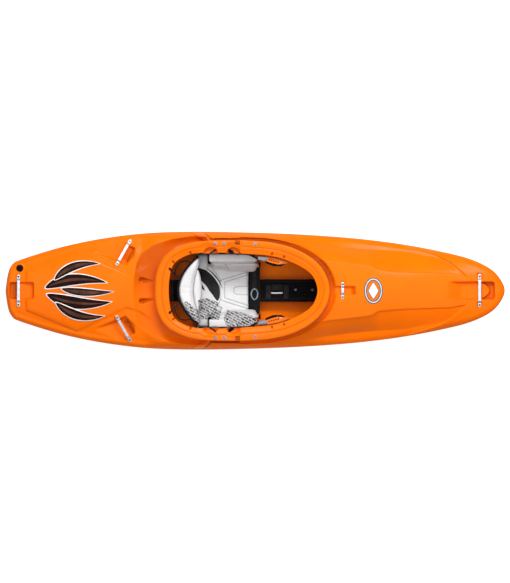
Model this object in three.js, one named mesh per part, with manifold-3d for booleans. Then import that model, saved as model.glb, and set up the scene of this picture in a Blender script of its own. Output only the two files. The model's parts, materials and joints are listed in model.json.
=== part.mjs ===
import * as THREE from 'three';
import { mergeVertices } from 'three/addons/utils/BufferGeometryUtils.js';
import Module from 'manifold-3d';

const wasm = await Module();
wasm.setup();

// A whitewater kayak in millimetres. +X points to the bow, +Y to port, +Z up; the flat of the
// bottom lies at height zero and the origin is under the middle of the boat.
const hullLength = 2740;
const hullBeam = 650;
const profileHeight = 400;
const wallThickness = 7;
const rimLength = 956;
const rimWidth = 550;
const rimCentreX = -67;
const rimRearHeight = 300;
const rimFrontHeight = 385;
const openingLength = 814;
const openingWidth = 410;
const openingCentreX = -63;
const fitGap = 0.3;
const overrun = 60;

const halfLength = hullLength / 2;
const halfBeam = hullBeam / 2;
const floorLevel = wallThickness;

const finishes = {
  hull: { color: 0xff7300, roughness: 0.35, metalness: 0 },
  hook: { color: 0xff7a08, roughness: 0.45, metalness: 0 },
  steel: { color: 0xc9ced2, roughness: 0.25, metalness: 1 },
  blackPlastic: { color: 0x141414, roughness: 0.5, metalness: 0 },
  foam: { color: 0x1c1c1e, roughness: 0.9, metalness: 0 },
  cushion: { color: 0xd8d8d8, roughness: 0.8, metalness: 0 },
  webbing: { color: 0x4c4f52, roughness: 0.9, metalness: 0 },
  cord: { color: 0x101113, roughness: 0.8, metalness: 0 },
  ladder: { color: 0x1b2a36, roughness: 0.5, metalness: 0 },
};

const kayak = new THREE.Group();

// Tables of shares: each pair is a place along the half length and a share of the size it follows.
const outlineShares = [
  [1, 0], [0.9936, 0.112], [0.9695, 0.269], [0.9454, 0.3615], [0.9053, 0.459], [0.845, 0.558],
  [0.7246, 0.68], [0.604, 0.775], [0.4837, 0.846], [0.3633, 0.899], [0.1826, 0.952], [0.002, 0.9825],
  [-0.239, 1], [-0.4195, 0.978], [-0.54, 0.9265], [-0.6604, 0.8465], [-0.7808, 0.733],
  [-0.9013, 0.58], [-0.9494, 0.5086], [-0.9654, 0.4785], [-0.9815, 0.393], [-0.9896, 0.3015],
  [-0.9976, 0.1066], [-1, 0],
];
const keelShares = [
  [-1, 0.36], [-0.8, 0.17], [-0.65, 0.08], [-0.48, 0.015], [-0.34, 0], [0.2, 0], [0.35, 0.02],
  [0.5, 0.075], [0.65, 0.19], [0.8, 0.36], [0.9, 0.5], [1, 0.66],
];
const sheerShares = [
  [-1, 0.462], [-0.8, 0.43], [-0.51, 0.438], [-0.22, 0.462], [0, 0.48], [0.22, 0.512],
  [0.44, 0.57], [0.66, 0.655], [0.84, 0.73], [1, 0.812],
];
const ridgeShares = [
  [-1, 0.555], [-0.88, 0.59], [-0.73, 0.615], [-0.51, 0.655], [-0.4, 0.67], [-0.22, 0.725],
  [0, 0.795], [0.3, 0.89], [0.44, 0.92], [0.58, 0.92], [0.73, 0.9], [0.88, 0.875], [1, 0.85],
];
const innerHeightShares = [
  [-1, 0.54], [-0.8, 0.58], [-0.58, 0.615], [-0.4, 0.64], [-0.15, 0.67], [0.12, 0.75],
  [0.28, 0.838], [0.47, 0.88], [0.66, 0.88], [0.77, 0.868], [0.84, 0.855], [1, 0.838],
];
const outerHeightShares = [
  [-1, 0.512], [-0.8, 0.512], [-0.58, 0.538], [-0.4, 0.562], [-0.15, 0.58], [0.12, 0.6],
  [0.26, 0.62], [0.43, 0.655], [0.6, 0.7], [0.73, 0.75], [0.84, 0.8], [1, 0.825],
];
const innerWidthShares = [
  [-1, 0.185], [-0.8, 0.34], [-0.58, 0.46], [-0.4, 0.554], [-0.15, 0.615], [0.12, 0.63],
  [0.28, 0.514], [0.47, 0.394], [0.66, 0.298], [0.77, 0.283], [0.84, 0.24], [1, 0.06],
];
const outerWidthShares = [
  [-1, 0.34], [-0.8, 0.585], [-0.58, 0.77], [-0.4, 0.86], [-0.15, 0.923], [0.12, 0.877],
  [0.26, 0.785], [0.43, 0.695], [0.6, 0.652], [0.66, 0.603], [0.73, 0.55], [0.8, 0.46],
  [0.91, 0.323], [1, 0.123],
];
const flareWidthShares = [[-1, 0.37], [0, 0.37], [0.65, 0.46], [1, 0.52]];
const flareShares = [[0, 1], [0.06, 0.75], [0.25, 0.48], [0.6, 0.17], [0.85, 0.03], [1, 0]];

// Value of a table at a place, by a cubic through its points that never overshoots them.
function tableAt(table, place) {
  const last = table.length - 2;
  let k = table.findIndex(([at]) => at > place) - 1;
  if (k < 0) k = place < table[0][0] ? 0 : last;
  const slope = (i) => (table[i + 1][1] - table[i][1]) / (table[i + 1][0] - table[i][0]);
  const tangent = (i) => {
    if (i === 0) return slope(0);
    if (i === table.length - 1) return slope(last);
    const product = slope(i - 1) * slope(i);
    return product > 0 ? (2 * product) / (slope(i - 1) + slope(i)) : 0;
  };
  const width = table[k + 1][0] - table[k][0];
  const t = THREE.MathUtils.clamp((place - table[k][0]) / width, 0, 1);
  const rise = table[k + 1][1] - table[k][1];
  return table[k][1] + rise * t * t * (3 - 2 * t)
    + width * t * (1 - t) * (tangent(k) * (1 - t) - tangent(k + 1) * t);
}

// Closed contour seen from above through one side's points, which run from the front to the rear.
function mirroredContour(points) {
  const other = points.slice(1, -1).reverse().map((p) => new THREE.Vector3(p.x, -p.y, p.z));
  return new THREE.CatmullRomCurve3([...points, ...other], true, 'centripetal');
}

const contourSteps = 6;
const outlinePoints = outlineShares.map(([a, b]) => new THREE.Vector3(a * halfLength, b * halfBeam, 0));
const outline = mirroredContour(outlinePoints).getPoints(contourSteps * 2 * (outlineShares.length - 1));

// Half the boat's breadth at a station, read from the outline.
function halfBreadth(x) {
  const half = outline.slice(0, contourSteps * (outlineShares.length - 1) + 1);
  const k = Math.min(Math.max(half.findIndex((p) => p.x <= x), 1), half.length - 1);
  const a = half[k - 1];
  const b = half[k];
  return THREE.MathUtils.mapLinear(THREE.MathUtils.clamp(x, b.x, a.x), a.x, b.x, a.y, b.y);
}

// Distance from a place to the nearest point of the outline.
function edgeDistance(x, y) {
  const place = new THREE.Vector3(x, y, 0);
  const nearest = new THREE.Vector3();
  const line = new THREE.Line3();
  const far = outline.slice(1).map((p, k) => {
    line.set(outline[k], p).closestPointToPoint(place, true, nearest);
    return nearest.distanceTo(place);
  });
  return Math.min(...far);
}

const gunwale = { radius: 30, lift: 16 };

// Height of the deck: straight between the ridge, two shoulders and the sheer, rounded at the edge.
function deckHeight(x, y) {
  const place = x / halfLength;
  const sheer = tableAt(sheerShares, place) * profileHeight;
  const inner = tableAt(innerWidthShares, place) * halfBeam;
  const outer = tableAt(outerWidthShares, place) * halfBeam;
  const stops = [
    [0, tableAt(ridgeShares, place) * profileHeight],
    [inner, tableAt(innerHeightShares, place) * profileHeight],
    [outer, tableAt(outerHeightShares, place) * profileHeight],
    [Math.max(halfBreadth(x), outer + gunwale.radius), sheer + gunwale.lift],
  ];
  const k = Math.max(stops.findIndex(([at]) => at >= Math.abs(y)), 1);
  const flat = THREE.MathUtils.mapLinear(Math.abs(y), stops[k - 1][0], stops[k][0], stops[k - 1][1], stops[k][1]);
  const inward = Math.min(edgeDistance(x, y) / gunwale.radius, 1);
  return sheer + (flat - sheer) * Math.sqrt(1 - (1 - inward) ** 2);
}

// Height of the bottom: the keel line, rising to the sheer across the flare.
function bottomHeight(x, y) {
  const place = x / halfLength;
  const keel = tableAt(keelShares, place) * profileHeight;
  const sheer = tableAt(sheerShares, place) * profileHeight;
  const flare = tableAt(flareWidthShares, place) * halfBeam;
  return keel + (sheer - keel) * tableAt(flareShares, Math.min(edgeDistance(x, y) / flare, 1));
}

// Reverses a mesh whose faces point inwards.
function facingOut(geometry) {
  const p = geometry.attributes.position;
  const index = geometry.index.array;
  const corner = [new THREE.Vector3(), new THREE.Vector3(), new THREE.Vector3()];
  let volume = 0;
  for (let i = 0; i < index.length; i += 3) {
    corner.forEach((c, k) => c.fromBufferAttribute(p, index[i + k]));
    volume += corner[0].dot(corner[1].cross(corner[2]));
  }
  if (volume < 0) {
    for (let i = 0; i < index.length; i += 3) [index[i], index[i + 1]] = [index[i + 1], index[i]];
  }
  return geometry;
}

// Only the positions, with shared corners joined and empty triangles left out.
function joined(geometry) {
  const bare = geometry.clone();
  bare.deleteAttribute('normal');
  bare.deleteAttribute('uv');
  const merged = mergeVertices(bare);
  const kept = [];
  for (let i = 0; i < merged.index.count; i += 3) {
    const [a, b, c] = merged.index.array.slice(i, i + 3);
    if (a !== b && b !== c && c !== a) kept.push(a, b, c);
  }
  return merged.setIndex(kept);
}

function toSolid(geometry) {
  const mesh = joined(geometry);
  const vertProperties = new Float32Array(mesh.attributes.position.array);
  const triVerts = new Uint32Array(mesh.index.array);
  return new wasm.Manifold(new wasm.Mesh({ numProp: 3, vertProperties, triVerts }));
}

function toGeometry(solid) {
  const mesh = solid.getMesh();
  return new THREE.BufferGeometry()
    .setAttribute('position', new THREE.BufferAttribute(new Float32Array(mesh.vertProperties), 3))
    .setIndex(Array.from(mesh.triVerts));
}

const union = (...geometries) => toGeometry(geometries.map(toSolid).reduce((a, b) => a.add(b)));
const cut = (geometry, ...tools) =>
  toGeometry(tools.map(toSolid).reduce((a, b) => a.subtract(b), toSolid(geometry)));

// Mirror image across the middle plane of the boat, for its starboard side.
function onSide(geometry, side) {
  return side > 0 ? geometry : facingOut(joined(geometry).scale(1, -1, 1));
}

function geometryOf(points, faces) {
  const geometry = new THREE.BufferGeometry().setFromPoints(points).setIndex(faces);
  return facingOut(geometry);
}

// Skin over rings of points, closed at both ends by a fan to a tip, or joined end to start as a loop.
function skin(rings, tips) {
  const size = rings[0].length;
  const points = rings.flat();
  const faces = [];
  const spans = tips ? rings.length - 1 : rings.length;
  for (let i = 0; i < spans; i += 1) {
    for (let j = 0; j < size; j += 1) {
      const a = i * size + j;
      const b = i * size + ((j + 1) % size);
      const c = ((i + 1) % rings.length) * size + j;
      const d = ((i + 1) % rings.length) * size + ((j + 1) % size);
      faces.push(a, c, b, b, c, d);
    }
  }
  if (tips) {
    const last = (rings.length - 1) * size;
    points.push(...tips);
    for (let j = 0; j < size; j += 1) {
      faces.push(j, (j + 1) % size, rings.length * size);
      faces.push(last + ((j + 1) % size), last + j, rings.length * size + 1);
    }
  }
  return geometryOf(points, faces);
}

// Solid between an upper and a lower grid of points with the same rows and columns.
function slab(upper, lower) {
  const rows = upper.length;
  const columns = upper[0].length;
  const under = rows * columns;
  const faces = [];
  const quad = (a, b, c, d) => faces.push(a, b, c, a, c, d);
  for (let i = 0; i < rows - 1; i += 1) {
    for (let j = 0; j < columns - 1; j += 1) {
      const a = i * columns + j;
      quad(a, a + columns, a + columns + 1, a + 1);
      quad(under + a, under + a + 1, under + a + columns + 1, under + a + columns);
    }
    const first = i * columns;
    const last = first + columns - 1;
    quad(first, under + first, under + first + columns, first + columns);
    quad(last, last + columns, under + last + columns, under + last);
  }
  const end = (rows - 1) * columns;
  for (let j = 0; j < columns - 1; j += 1) {
    quad(j, j + 1, under + j + 1, under + j);
    quad(end + j, under + end + j, under + end + j + 1, end + j + 1);
  }
  return geometryOf([...upper.flat(), ...lower.flat()], faces);
}

function boxBetween([x0, x1], [y0, y1], [z0, z1]) {
  return new THREE.BoxGeometry(x1 - x0, y1 - y0, z1 - z0)
    .translate((x0 + x1) / 2, (y0 + y1) / 2, (z0 + z1) / 2);
}

function post(radius, [z0, z1], x, y, sides = 16) {
  return new THREE.CylinderGeometry(radius, radius, z1 - z0, sides)
    .rotateX(Math.PI / 2)
    .translate(x, y, (z0 + z1) / 2);
}

function plate(points, [z0, z1]) {
  const shape = new THREE.Shape(points.map(([x, y]) => new THREE.Vector2(x, y)));
  return new THREE.ExtrudeGeometry(shape, { depth: z1 - z0, bevelEnabled: false }).translate(0, 0, z0);
}

function tube(points, radius, sides, steps) {
  const ring = [];
  for (let k = 0; k < sides; k += 1) {
    const angle = (2 * Math.PI * k) / sides;
    ring.push(new THREE.Vector2(radius * Math.cos(angle), radius * Math.sin(angle)));
  }
  const path = new THREE.CatmullRomCurve3(points.map((p) => new THREE.Vector3(...p)));
  return new THREE.ExtrudeGeometry(new THREE.Shape(ring), { steps, extrudePath: path, bevelEnabled: false });
}

function add(name, geometry, finish) {
  const mesh = new THREE.Mesh(geometry, new THREE.MeshStandardMaterial(finish));
  mesh.name = name;
  kayak.add(mesh);
  return mesh;
}

const sideNames = [['port', 1], ['starboard', -1]];

// The hull and deck shell, as sections across the boat at stations closer together at the ends.
const stationCount = 30;
const deckSectionShares = [1, 0.96, 0.9, 0.8, 0.68, 0.55, 0.4, 0.2, 0];
const bottomSectionShares = [0.3, 0.6, 0.75, 0.88, 0.95, 0.985];
const innerTipInset = 25;

function hullSection(x, inset) {
  const breadth = halfBreadth(x) - inset;
  const sheer = tableAt(sheerShares, x / halfLength) * profileHeight;
  const deck = (share) => new THREE.Vector3(x, share * breadth, deckHeight(x, share * breadth) - inset);
  const bottom = (share) => new THREE.Vector3(x, share * breadth, bottomHeight(x, share * breadth) + inset);
  const inner = deckSectionShares.slice(1);
  return [
    new THREE.Vector3(x, breadth, sheer),
    ...inner.map(deck),
    ...inner.slice(0, -1).reverse().map((share) => deck(-share)),
    new THREE.Vector3(x, -breadth, sheer),
    ...bottomSectionShares.slice().reverse().map((share) => bottom(-share)),
    bottom(0),
    ...bottomSectionShares.map(bottom),
  ];
}

function hullBody(inset, tipInset) {
  const reach = halfLength - tipInset;
  const rings = [];
  for (let i = 1; i < stationCount; i += 1) {
    rings.push(hullSection(-reach * Math.cos((Math.PI * i) / stationCount), inset));
  }
  const tips = [-1, 1].map((end) => new THREE.Vector3(end * reach, 0, tableAt(sheerShares, end) * profileHeight));
  return skin(rings, tips);
}

// The cockpit rim: a tilted plane, an outer contour and the contour of the opening.
const rimShares = [
  [1, 0], [0.982, 0.2], [0.946, 0.345], [0.898, 0.476], [0.81, 0.625], [0.705, 0.745], [0.55, 0.866],
  [0.32, 0.96], [0.088, 0.993], [-0.153, 1], [-0.454, 0.982], [-0.619, 0.935], [-0.738, 0.855],
  [-0.841, 0.753], [-0.92, 0.6], [-0.98, 0.36], [-1, 0],
];
const openingShares = [
  [1, 0], [0.985, 0.17], [0.946, 0.351], [0.882, 0.493], [0.774, 0.639], [0.636, 0.766],
  [0.484, 0.873], [0.312, 0.937], [0.093, 0.971], [-0.15, 1], [-0.533, 1.01], [-0.708, 0.966],
  [-0.828, 0.868], [-0.919, 0.732], [-0.963, 0.561], [-0.992, 0.293], [-1, 0],
];
const rim = {
  segments: 44,
  lipThickness: 8,
  creaseRise: 1.5,
  shelfDrop: 10,
  edgeDepth: 25,
  edgeThickness: 6,
  wallInset: 20,
  wallThickness: 8,
};
const rimSlope = (rimFrontHeight - rimRearHeight) / rimLength;
const rimBottom = -(rim.shelfDrop + rim.edgeDepth);

const rimHeight = (x) => rimRearHeight + (x - rimCentreX + rimLength / 2) * rimSlope;

function contourOf(shares, length, width, centre) {
  const points = shares.map(([a, b]) => new THREE.Vector3(centre + (a * length) / 2, (b * width) / 2, 0));
  return mirroredContour(points).getSpacedPoints(rim.segments).slice(0, rim.segments);
}

const rimContour = contourOf(rimShares, rimLength, rimWidth, rimCentreX);
const openingContour = contourOf(openingShares, openingLength, openingWidth, openingCentreX);

// Places a point between the lip and the opening, at a distance inwards from the lip.
function rimPoint(i, inward, height) {
  const point = rimContour[i].clone();
  const across = openingContour[i].clone().sub(point);
  point.addScaledVector(across, inward / across.length());
  return point.setZ(rimHeight(point.x) + height);
}

function rimGeometry() {
  const rings = rimContour.map((_, i) => {
    const width = rimContour[i].distanceTo(openingContour[i]);
    return [
      rimPoint(i, 0, -rim.lipThickness),
      rimPoint(i, 0, 0),
      rimPoint(i, width / 2, rim.creaseRise),
      rimPoint(i, width, -rim.shelfDrop),
      rimPoint(i, width, rimBottom),
      rimPoint(i, width - rim.edgeThickness, rimBottom),
      rimPoint(i, width - rim.edgeThickness, -rim.shelfDrop - rim.lipThickness),
      rimPoint(i, width / 2, -rim.lipThickness),
    ];
  });
  return skin(rings);
}

function rimWallGeometry(bottom) {
  const inner = rim.wallInset + rim.wallThickness;
  const rings = rimContour.map((_, i) => [
    rimPoint(i, rim.wallInset, 0).setZ(bottom),
    rimPoint(i, rim.wallInset, -rim.lipThickness / 2),
    rimPoint(i, inner, -rim.lipThickness / 2),
    rimPoint(i, inner, 0).setZ(bottom),
  ]);
  return skin(rings);
}

function cockpitCutter(bottom) {
  const inner = rim.wallInset + rim.wallThickness;
  const around = rimContour.map((_, i) => rimPoint(i, inner, 0)).map((p) => [p.x, p.y]);
  return plate(around, [bottom, rimFrontHeight + overrun]);
}

// Recesses moulded into the deck: insets from the boat's end or from the rim's front, half widths,
// and how far each floor lies below the deck.
const bowRecess = { rearInset: 317, stepInset: 105, frontInset: 53, halfWidth: 50, depth: 24, pocketDepth: 38 };
const sternRecess = { rearInset: 25, stepInset: 62, frontInset: 157, halfWidth: 47, depth: 22, pocketDepth: 32 };
const frontChannel = { overlap: 6, reach: 134, halfWidth: 23, depth: 12 };
const sideRecess = { depth: 28 };
const sideRecessShares = [
  [-0.6606, 0.6831], [-0.5168, 0.4369], [-0.4803, 0.7169], [-0.5372, 0.8708], [-0.6321, 0.7692],
];
const sideRecessCentreShares = [-0.5635, 0.6646];
const cockpitCutShare = 1 / 3;
const bow = halfLength;
const stern = -halfLength;
const rimFront = rimCentreX + rimLength / 2;
const placeAt = ([alongShare, acrossShare]) => [alongShare * halfLength, acrossShare * halfBeam];

function rectangle(x0, x1, halfWidth) {
  return [[x0, -halfWidth], [x1, -halfWidth], [x1, halfWidth], [x0, halfWidth]];
}

function grown(points, by) {
  const cx = points.reduce((sum, [x]) => sum + x, 0) / points.length;
  const cy = points.reduce((sum, [, y]) => sum + y, 0) / points.length;
  return points.map(([x, y]) => {
    const away = Math.hypot(x - cx, y - cy);
    return [x + ((x - cx) * by) / away, y + ((y - cy) * by) / away];
  });
}

// Sinks a recess into the shell, with its own walls and a floor for each of its parts.
function sunk(shell, outside, parts) {
  const top = profileHeight + overrun;
  const lined = parts.reduce((solid, [points, floor]) => {
    const tub = toSolid(plate(grown(points, wallThickness * Math.SQRT2), [floor - wallThickness, top]));
    return solid.add(tub.intersect(outside));
  }, shell);
  return parts.reduce((solid, [points, floor]) => solid.subtract(toSolid(plate(points, [floor, top]))), lined);
}

function hullShell() {
  const outside = toSolid(hullBody(0, 0));
  const inside = toSolid(hullBody(wallThickness, innerTipInset));
  const low = profileHeight * cockpitCutShare;
  let shell = outside.subtract(inside).subtract(toSolid(cockpitCutter(low)));
  shell = shell.add(toSolid(rimWallGeometry(low)).subtract(inside)).add(toSolid(rimGeometry()));

  for (const [end, recess] of [[bow, bowRecess], [stern, sternRecess]]) {
    const [rear, step, front] = [recess.rearInset, recess.stepInset, recess.frontInset]
      .map((inset) => end - Math.sign(end) * inset);
    const level = deckHeight(step, 0);
    const tail = end > 0 ? [rear, step] : [step, front];
    const pocket = end > 0 ? [step, front] : [rear, step];
    shell = sunk(shell, outside, [
      [rectangle(...tail, recess.halfWidth), level - recess.depth],
      [rectangle(...pocket, recess.halfWidth), level - recess.pocketDepth],
    ]);
  }
  const channelRear = rimFront - frontChannel.overlap;
  shell = sunk(shell, outside, [[
    rectangle(channelRear, rimFront + frontChannel.reach, frontChannel.halfWidth),
    deckHeight(channelRear, 0) - frontChannel.depth,
  ]]);
  for (const [, side] of sideNames) {
    const corners = sideRecessShares.map(placeAt).map(([x, y]) => [x, y * side]);
    const floor = deckHeight(...placeAt(sideRecessCentreShares)) - sideRecess.depth;
    shell = sunk(shell, outside, [[side > 0 ? corners : corners.reverse(), floor]]);
  }
  return toGeometry(shell);
}

const hull = add('hull_shell', hullShell(), finishes.hull);
const hullTools = [];
const hullJoins = [];

// Height of the first surface that a fall from above meets.
function topOf(mesh, x, y) {
  const from = new THREE.Vector3(x, y, profileHeight + overrun);
  const ray = new THREE.Raycaster(from, new THREE.Vector3(0, 0, -1));
  return ray.intersectObject(mesh)[0].point.z;
}

// Grab handles: bent metal bars on two feet, each foot let into the deck and held by a screw.
const handle = { thickness: 5, footLength: 22, rise: 13, bendLength: 14, seatDepth: 0.3 };
const screw = { headRadius: 6, headHeight: 3, shankRadius: 2.5, length: 22, sides: 8 };
const grabHandle = { sternInset: 73, sternLength: 176, bowInset: 138, bowLength: 180, width: 18 };
const deckHandle = { sideLength: 162, rimGap: 71, frontLength: 92, width: 16 };
const sideHandleShares = [-0.52555, 0.64308];
const sideHandleTurn = 61;
const crosswise = 90;
const [sideX, sideY] = placeAt(sideHandleShares);
const handles = [
  ['stern_grab', stern + grabHandle.sternInset, 0, crosswise, grabHandle.sternLength, grabHandle.width],
  ['stern_port', sideX, sideY, sideHandleTurn, deckHandle.sideLength, deckHandle.width],
  ['stern_starboard', sideX, -sideY, -sideHandleTurn, deckHandle.sideLength, deckHandle.width],
  ['front_deck', rimFront + deckHandle.rimGap, 0, crosswise, deckHandle.frontLength, deckHandle.width],
  ['bow_grab', bow - grabHandle.bowInset, 0, crosswise, grabHandle.bowLength, grabHandle.width],
];

function handleProfile(length) {
  const half = length / 2;
  const foot = half - handle.footLength;
  const bend = foot - handle.bendLength;
  return [
    [-half, 0], [-foot, 0], [-bend, handle.rise], [bend, handle.rise], [foot, 0], [half, 0],
    [half, handle.thickness], [foot, handle.thickness], [bend, handle.rise + handle.thickness],
    [-bend, handle.rise + handle.thickness], [-foot, handle.thickness], [-half, handle.thickness],
  ];
}

function addHandle([name, x, y, heading, length, width]) {
  const along = new THREE.Vector2(1, 0).rotateAround(new THREE.Vector2(), THREE.MathUtils.degToRad(heading));
  const across = new THREE.Vector2(-along.y, along.x);
  const corner = (end, inset, sideways) =>
    new THREE.Vector2(x, y)
      .addScaledVector(along, end * (length / 2 - inset))
      .addScaledVector(across, (sideways * width) / 2);
  const ends = [-1, 1].map((end) => {
    const heights = [0, handle.footLength].flatMap((inset) =>
      [-1, 0, 1].map((sideways) => topOf(hull, ...corner(end, inset, sideways))));
    const middle = corner(end, handle.footLength / 2, 0);
    return new THREE.Vector3(middle.x, middle.y, Math.min(...heights) - handle.seatDepth);
  });
  const axisX = ends[1].clone().sub(ends[0]).normalize();
  const axisY = new THREE.Vector3(0, 0, 1).cross(axisX).normalize();
  const axisZ = axisX.clone().cross(axisY);
  const frame = new THREE.Matrix4().makeBasis(axisX, axisY, axisZ)
    .setPosition(ends[0].clone().add(ends[1]).multiplyScalar(0.5));
  const placed = (geometry) => geometry.applyMatrix4(frame);

  const shape = new THREE.Shape(handleProfile(length).map(([x, z]) => new THREE.Vector2(x, z)));
  const bar = new THREE.ExtrudeGeometry(shape, { depth: width, bevelEnabled: false })
    .rotateX(Math.PI / 2)
    .translate(0, width / 2, 0);
  const screwPlace = length / 2 - handle.footLength / 2;
  const holes = [-1, 1].map((end) =>
    post(screw.shankRadius + fitGap, [-screw.length - fitGap, overrun], end * screwPlace, 0, screw.sides));
  add(`${name}_handle`, placed(cut(bar, ...holes)), finishes.steel);
  [-1, 1].forEach((end, k) => {
    const headLow = handle.thickness + fitGap;
    const head = post(screw.headRadius, [headLow, headLow + screw.headHeight], end * screwPlace, 0, screw.sides);
    const shankEnds = [-screw.length, headLow + screw.headHeight / 2];
    const shank = post(screw.shankRadius, shankEnds, end * screwPlace, 0, screw.sides);
    add(`${name}_screw_${k + 1}`, placed(union(head, shank)), finishes.steel);
    const foot = [end * (length / 2 + fitGap), end * (length / 2 - handle.footLength - handle.bendLength - fitGap)];
    const seat = boxBetween(
      [Math.min(...foot), Math.max(...foot)],
      [-width / 2 - fitGap, width / 2 + fitGap],
      [-fitGap, overrun],
    );
    hullTools.push(placed(seat), placed(holes[k]));
  });
}
handles.forEach(addHandle);

// Drain plug: a slotted cap on a shank that screws into a boss.
const drain = {
  inset: 80, capRadius: 14.5, capHeight: 7, shankRadius: 8, shankLength: 16,
  bossRadius: 20, bossHeight: 4, bossDepth: 16, slotWidth: 4, slotDepth: 3, sides: 20,
};
const drainAcrossShare = 0.3785;

function addDrainPlug() {
  const [x, y] = [stern + drain.inset, drainAcrossShare * halfBeam];
  const level = topOf(hull, x, y) + drain.bossHeight;
  hullJoins.push(post(drain.bossRadius, [level - drain.bossDepth, level], x, y, drain.sides));
  hullTools.push(post(drain.shankRadius + fitGap, [level - overrun, level + overrun], x, y));
  const capLow = level + fitGap;
  const capHigh = capLow + drain.capHeight;
  const plug = cut(
    union(
      post(drain.capRadius, [capLow, capHigh], x, y, drain.sides),
      post(drain.shankRadius, [level - drain.shankLength, capLow + drain.capHeight / 2], x, y),
    ),
    boxBetween(
      [x - drain.capRadius - overrun, x + drain.capRadius + overrun],
      [y - drain.slotWidth / 2, y + drain.slotWidth / 2],
      [capHigh - drain.slotDepth, capHigh + overrun],
    ),
  );
  add('drain_plug', plug, finishes.blackPlastic);
}
addDrainPlug();

// Bolts through the rim's lip into bosses under it.
const rimBolt = { headRadius: 10.5, headHeight: 5, shankRadius: 4, bossRadius: 9, bossDepth: 14, sides: 12 };
const rimBoltPlaces = [[-214.5, 258], [-165.5, 258], [4.4, 253]];

for (const [sideName, side] of sideNames) {
  rimBoltPlaces.forEach(([x, y], k) => {
    const level = rimHeight(x) + rim.creaseRise;
    const low = level - rim.lipThickness - rimBolt.bossDepth;
    const round = (radius, ends) => post(radius, ends, x, y * side, rimBolt.sides);
    hullJoins.push(round(rimBolt.bossRadius, [low, level - rim.lipThickness / 2]));
    hullTools.push(round(rimBolt.shankRadius + fitGap, [low - overrun, level + overrun]));
    hullTools.push(round(rimBolt.headRadius + fitGap, [level - fitGap, level + overrun]));
    const bolt = union(
      round(rimBolt.headRadius, [level, level + rimBolt.headHeight]),
      round(rimBolt.shankRadius, [low, level + rimBolt.headHeight / 2]),
    );
    add(`rim_bolt_${sideName}_${k + 1}`, bolt, finishes.steel);
  });
}

// Shallow scallops in the opening's edge, beside the tab between each pair of rim bolts.
const scallop = { reach: 237, shoulder: 198, spans: [[-280, -200], [-154, -78]], steps: 6 };

function scallopCutter([x0, x1], side) {
  const points = [[x0, scallop.shoulder]];
  for (let k = 1; k < scallop.steps; k += 1) {
    const share = k / scallop.steps;
    const rise = Math.sqrt(Math.sin(Math.PI * share));
    points.push([x0 + (x1 - x0) * share, openingWidth / 2 + (scallop.reach - openingWidth / 2) * rise]);
  }
  points.push([x1, scallop.shoulder]);
  const outlined = points.map(([x, y]) => [x, y * side]);
  const low = rimRearHeight + rimBottom - overrun;
  return plate(side > 0 ? outlined.reverse() : outlined, [low, rimFrontHeight + overrun]);
}
for (const [, side] of sideNames) scallop.spans.forEach((span) => hullTools.push(scallopCutter(span, side)));

// Seat: a dished pan on two rails, carrying the cushion, the hip pads and the side brackets.
const seat = {
  rear: -318, front: 28, notch: -27, notchHalfWidth: 129, halfWidth: 155,
  height: 62, sideRise: 24, frontRise: 18, padThickness: 24, panThickness: 5, panLip: 6,
  crown: 5, channelDepth: 4, drawnIn: 4,
};
const seatRowShares = [0, 0.06, 0.2, 0.4, 0.47, 0.5, 0.53, 0.66, 0.8, 0.9, 0.96, 1];
const seatColumnShares = [-1, -0.94, -0.86, -0.832, -0.6, -0.3, 0, 0.3, 0.6, 0.832, 0.86, 0.94, 1];
const frontRampShare = 0.66;
const channelShare = 0.5;

// Point of the seat's dish at a row and column, lowered and moved out by given amounts.
function seatPoint(row, column, lowered, extra) {
  const y = column * seat.halfWidth;
  const front = Math.abs(column) * seat.halfWidth > seat.notchHalfWidth + fitGap ? seat.front : seat.notch;
  const x = seat.rear + row * (front + extra - seat.rear);
  const ramp = Math.max(0, (row - frontRampShare) / (1 - frontRampShare));
  const z = seat.height + seat.sideRise * Math.abs(column) ** 3 + seat.frontRise * ramp;
  return new THREE.Vector3(x, y, z - lowered);
}

// The cushion's top swells between its edges and dips along a channel across it.
function cushionPoint(row, column) {
  const swell = seat.crown * Math.sqrt(Math.sin(Math.PI * row)) * (1 - column ** 4);
  const channel = row === channelShare ? seat.channelDepth : 0;
  const rounded = row === 0 || row === 1 || Math.abs(column) === 1 ? seat.drawnIn : 0;
  const point = seatPoint(row, column, rounded + channel - swell, 0);
  return point.setY(point.y * (1 - (rounded * Math.abs(column)) / seat.halfWidth / 2));
}

function seatGrid(place) {
  return seatRowShares.map((row) => seatColumnShares.map((column) => place(row, column)));
}

const seatRail = { rear: -330, front: 10, inner: 60, outer: 80, height: 13, tieLength: 30 };
const runner = { rear: -285, front: -40, inner: 56, outer: 84 };
const panFlange = { inner: 158, outer: 203.5, level: 68 };

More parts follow.
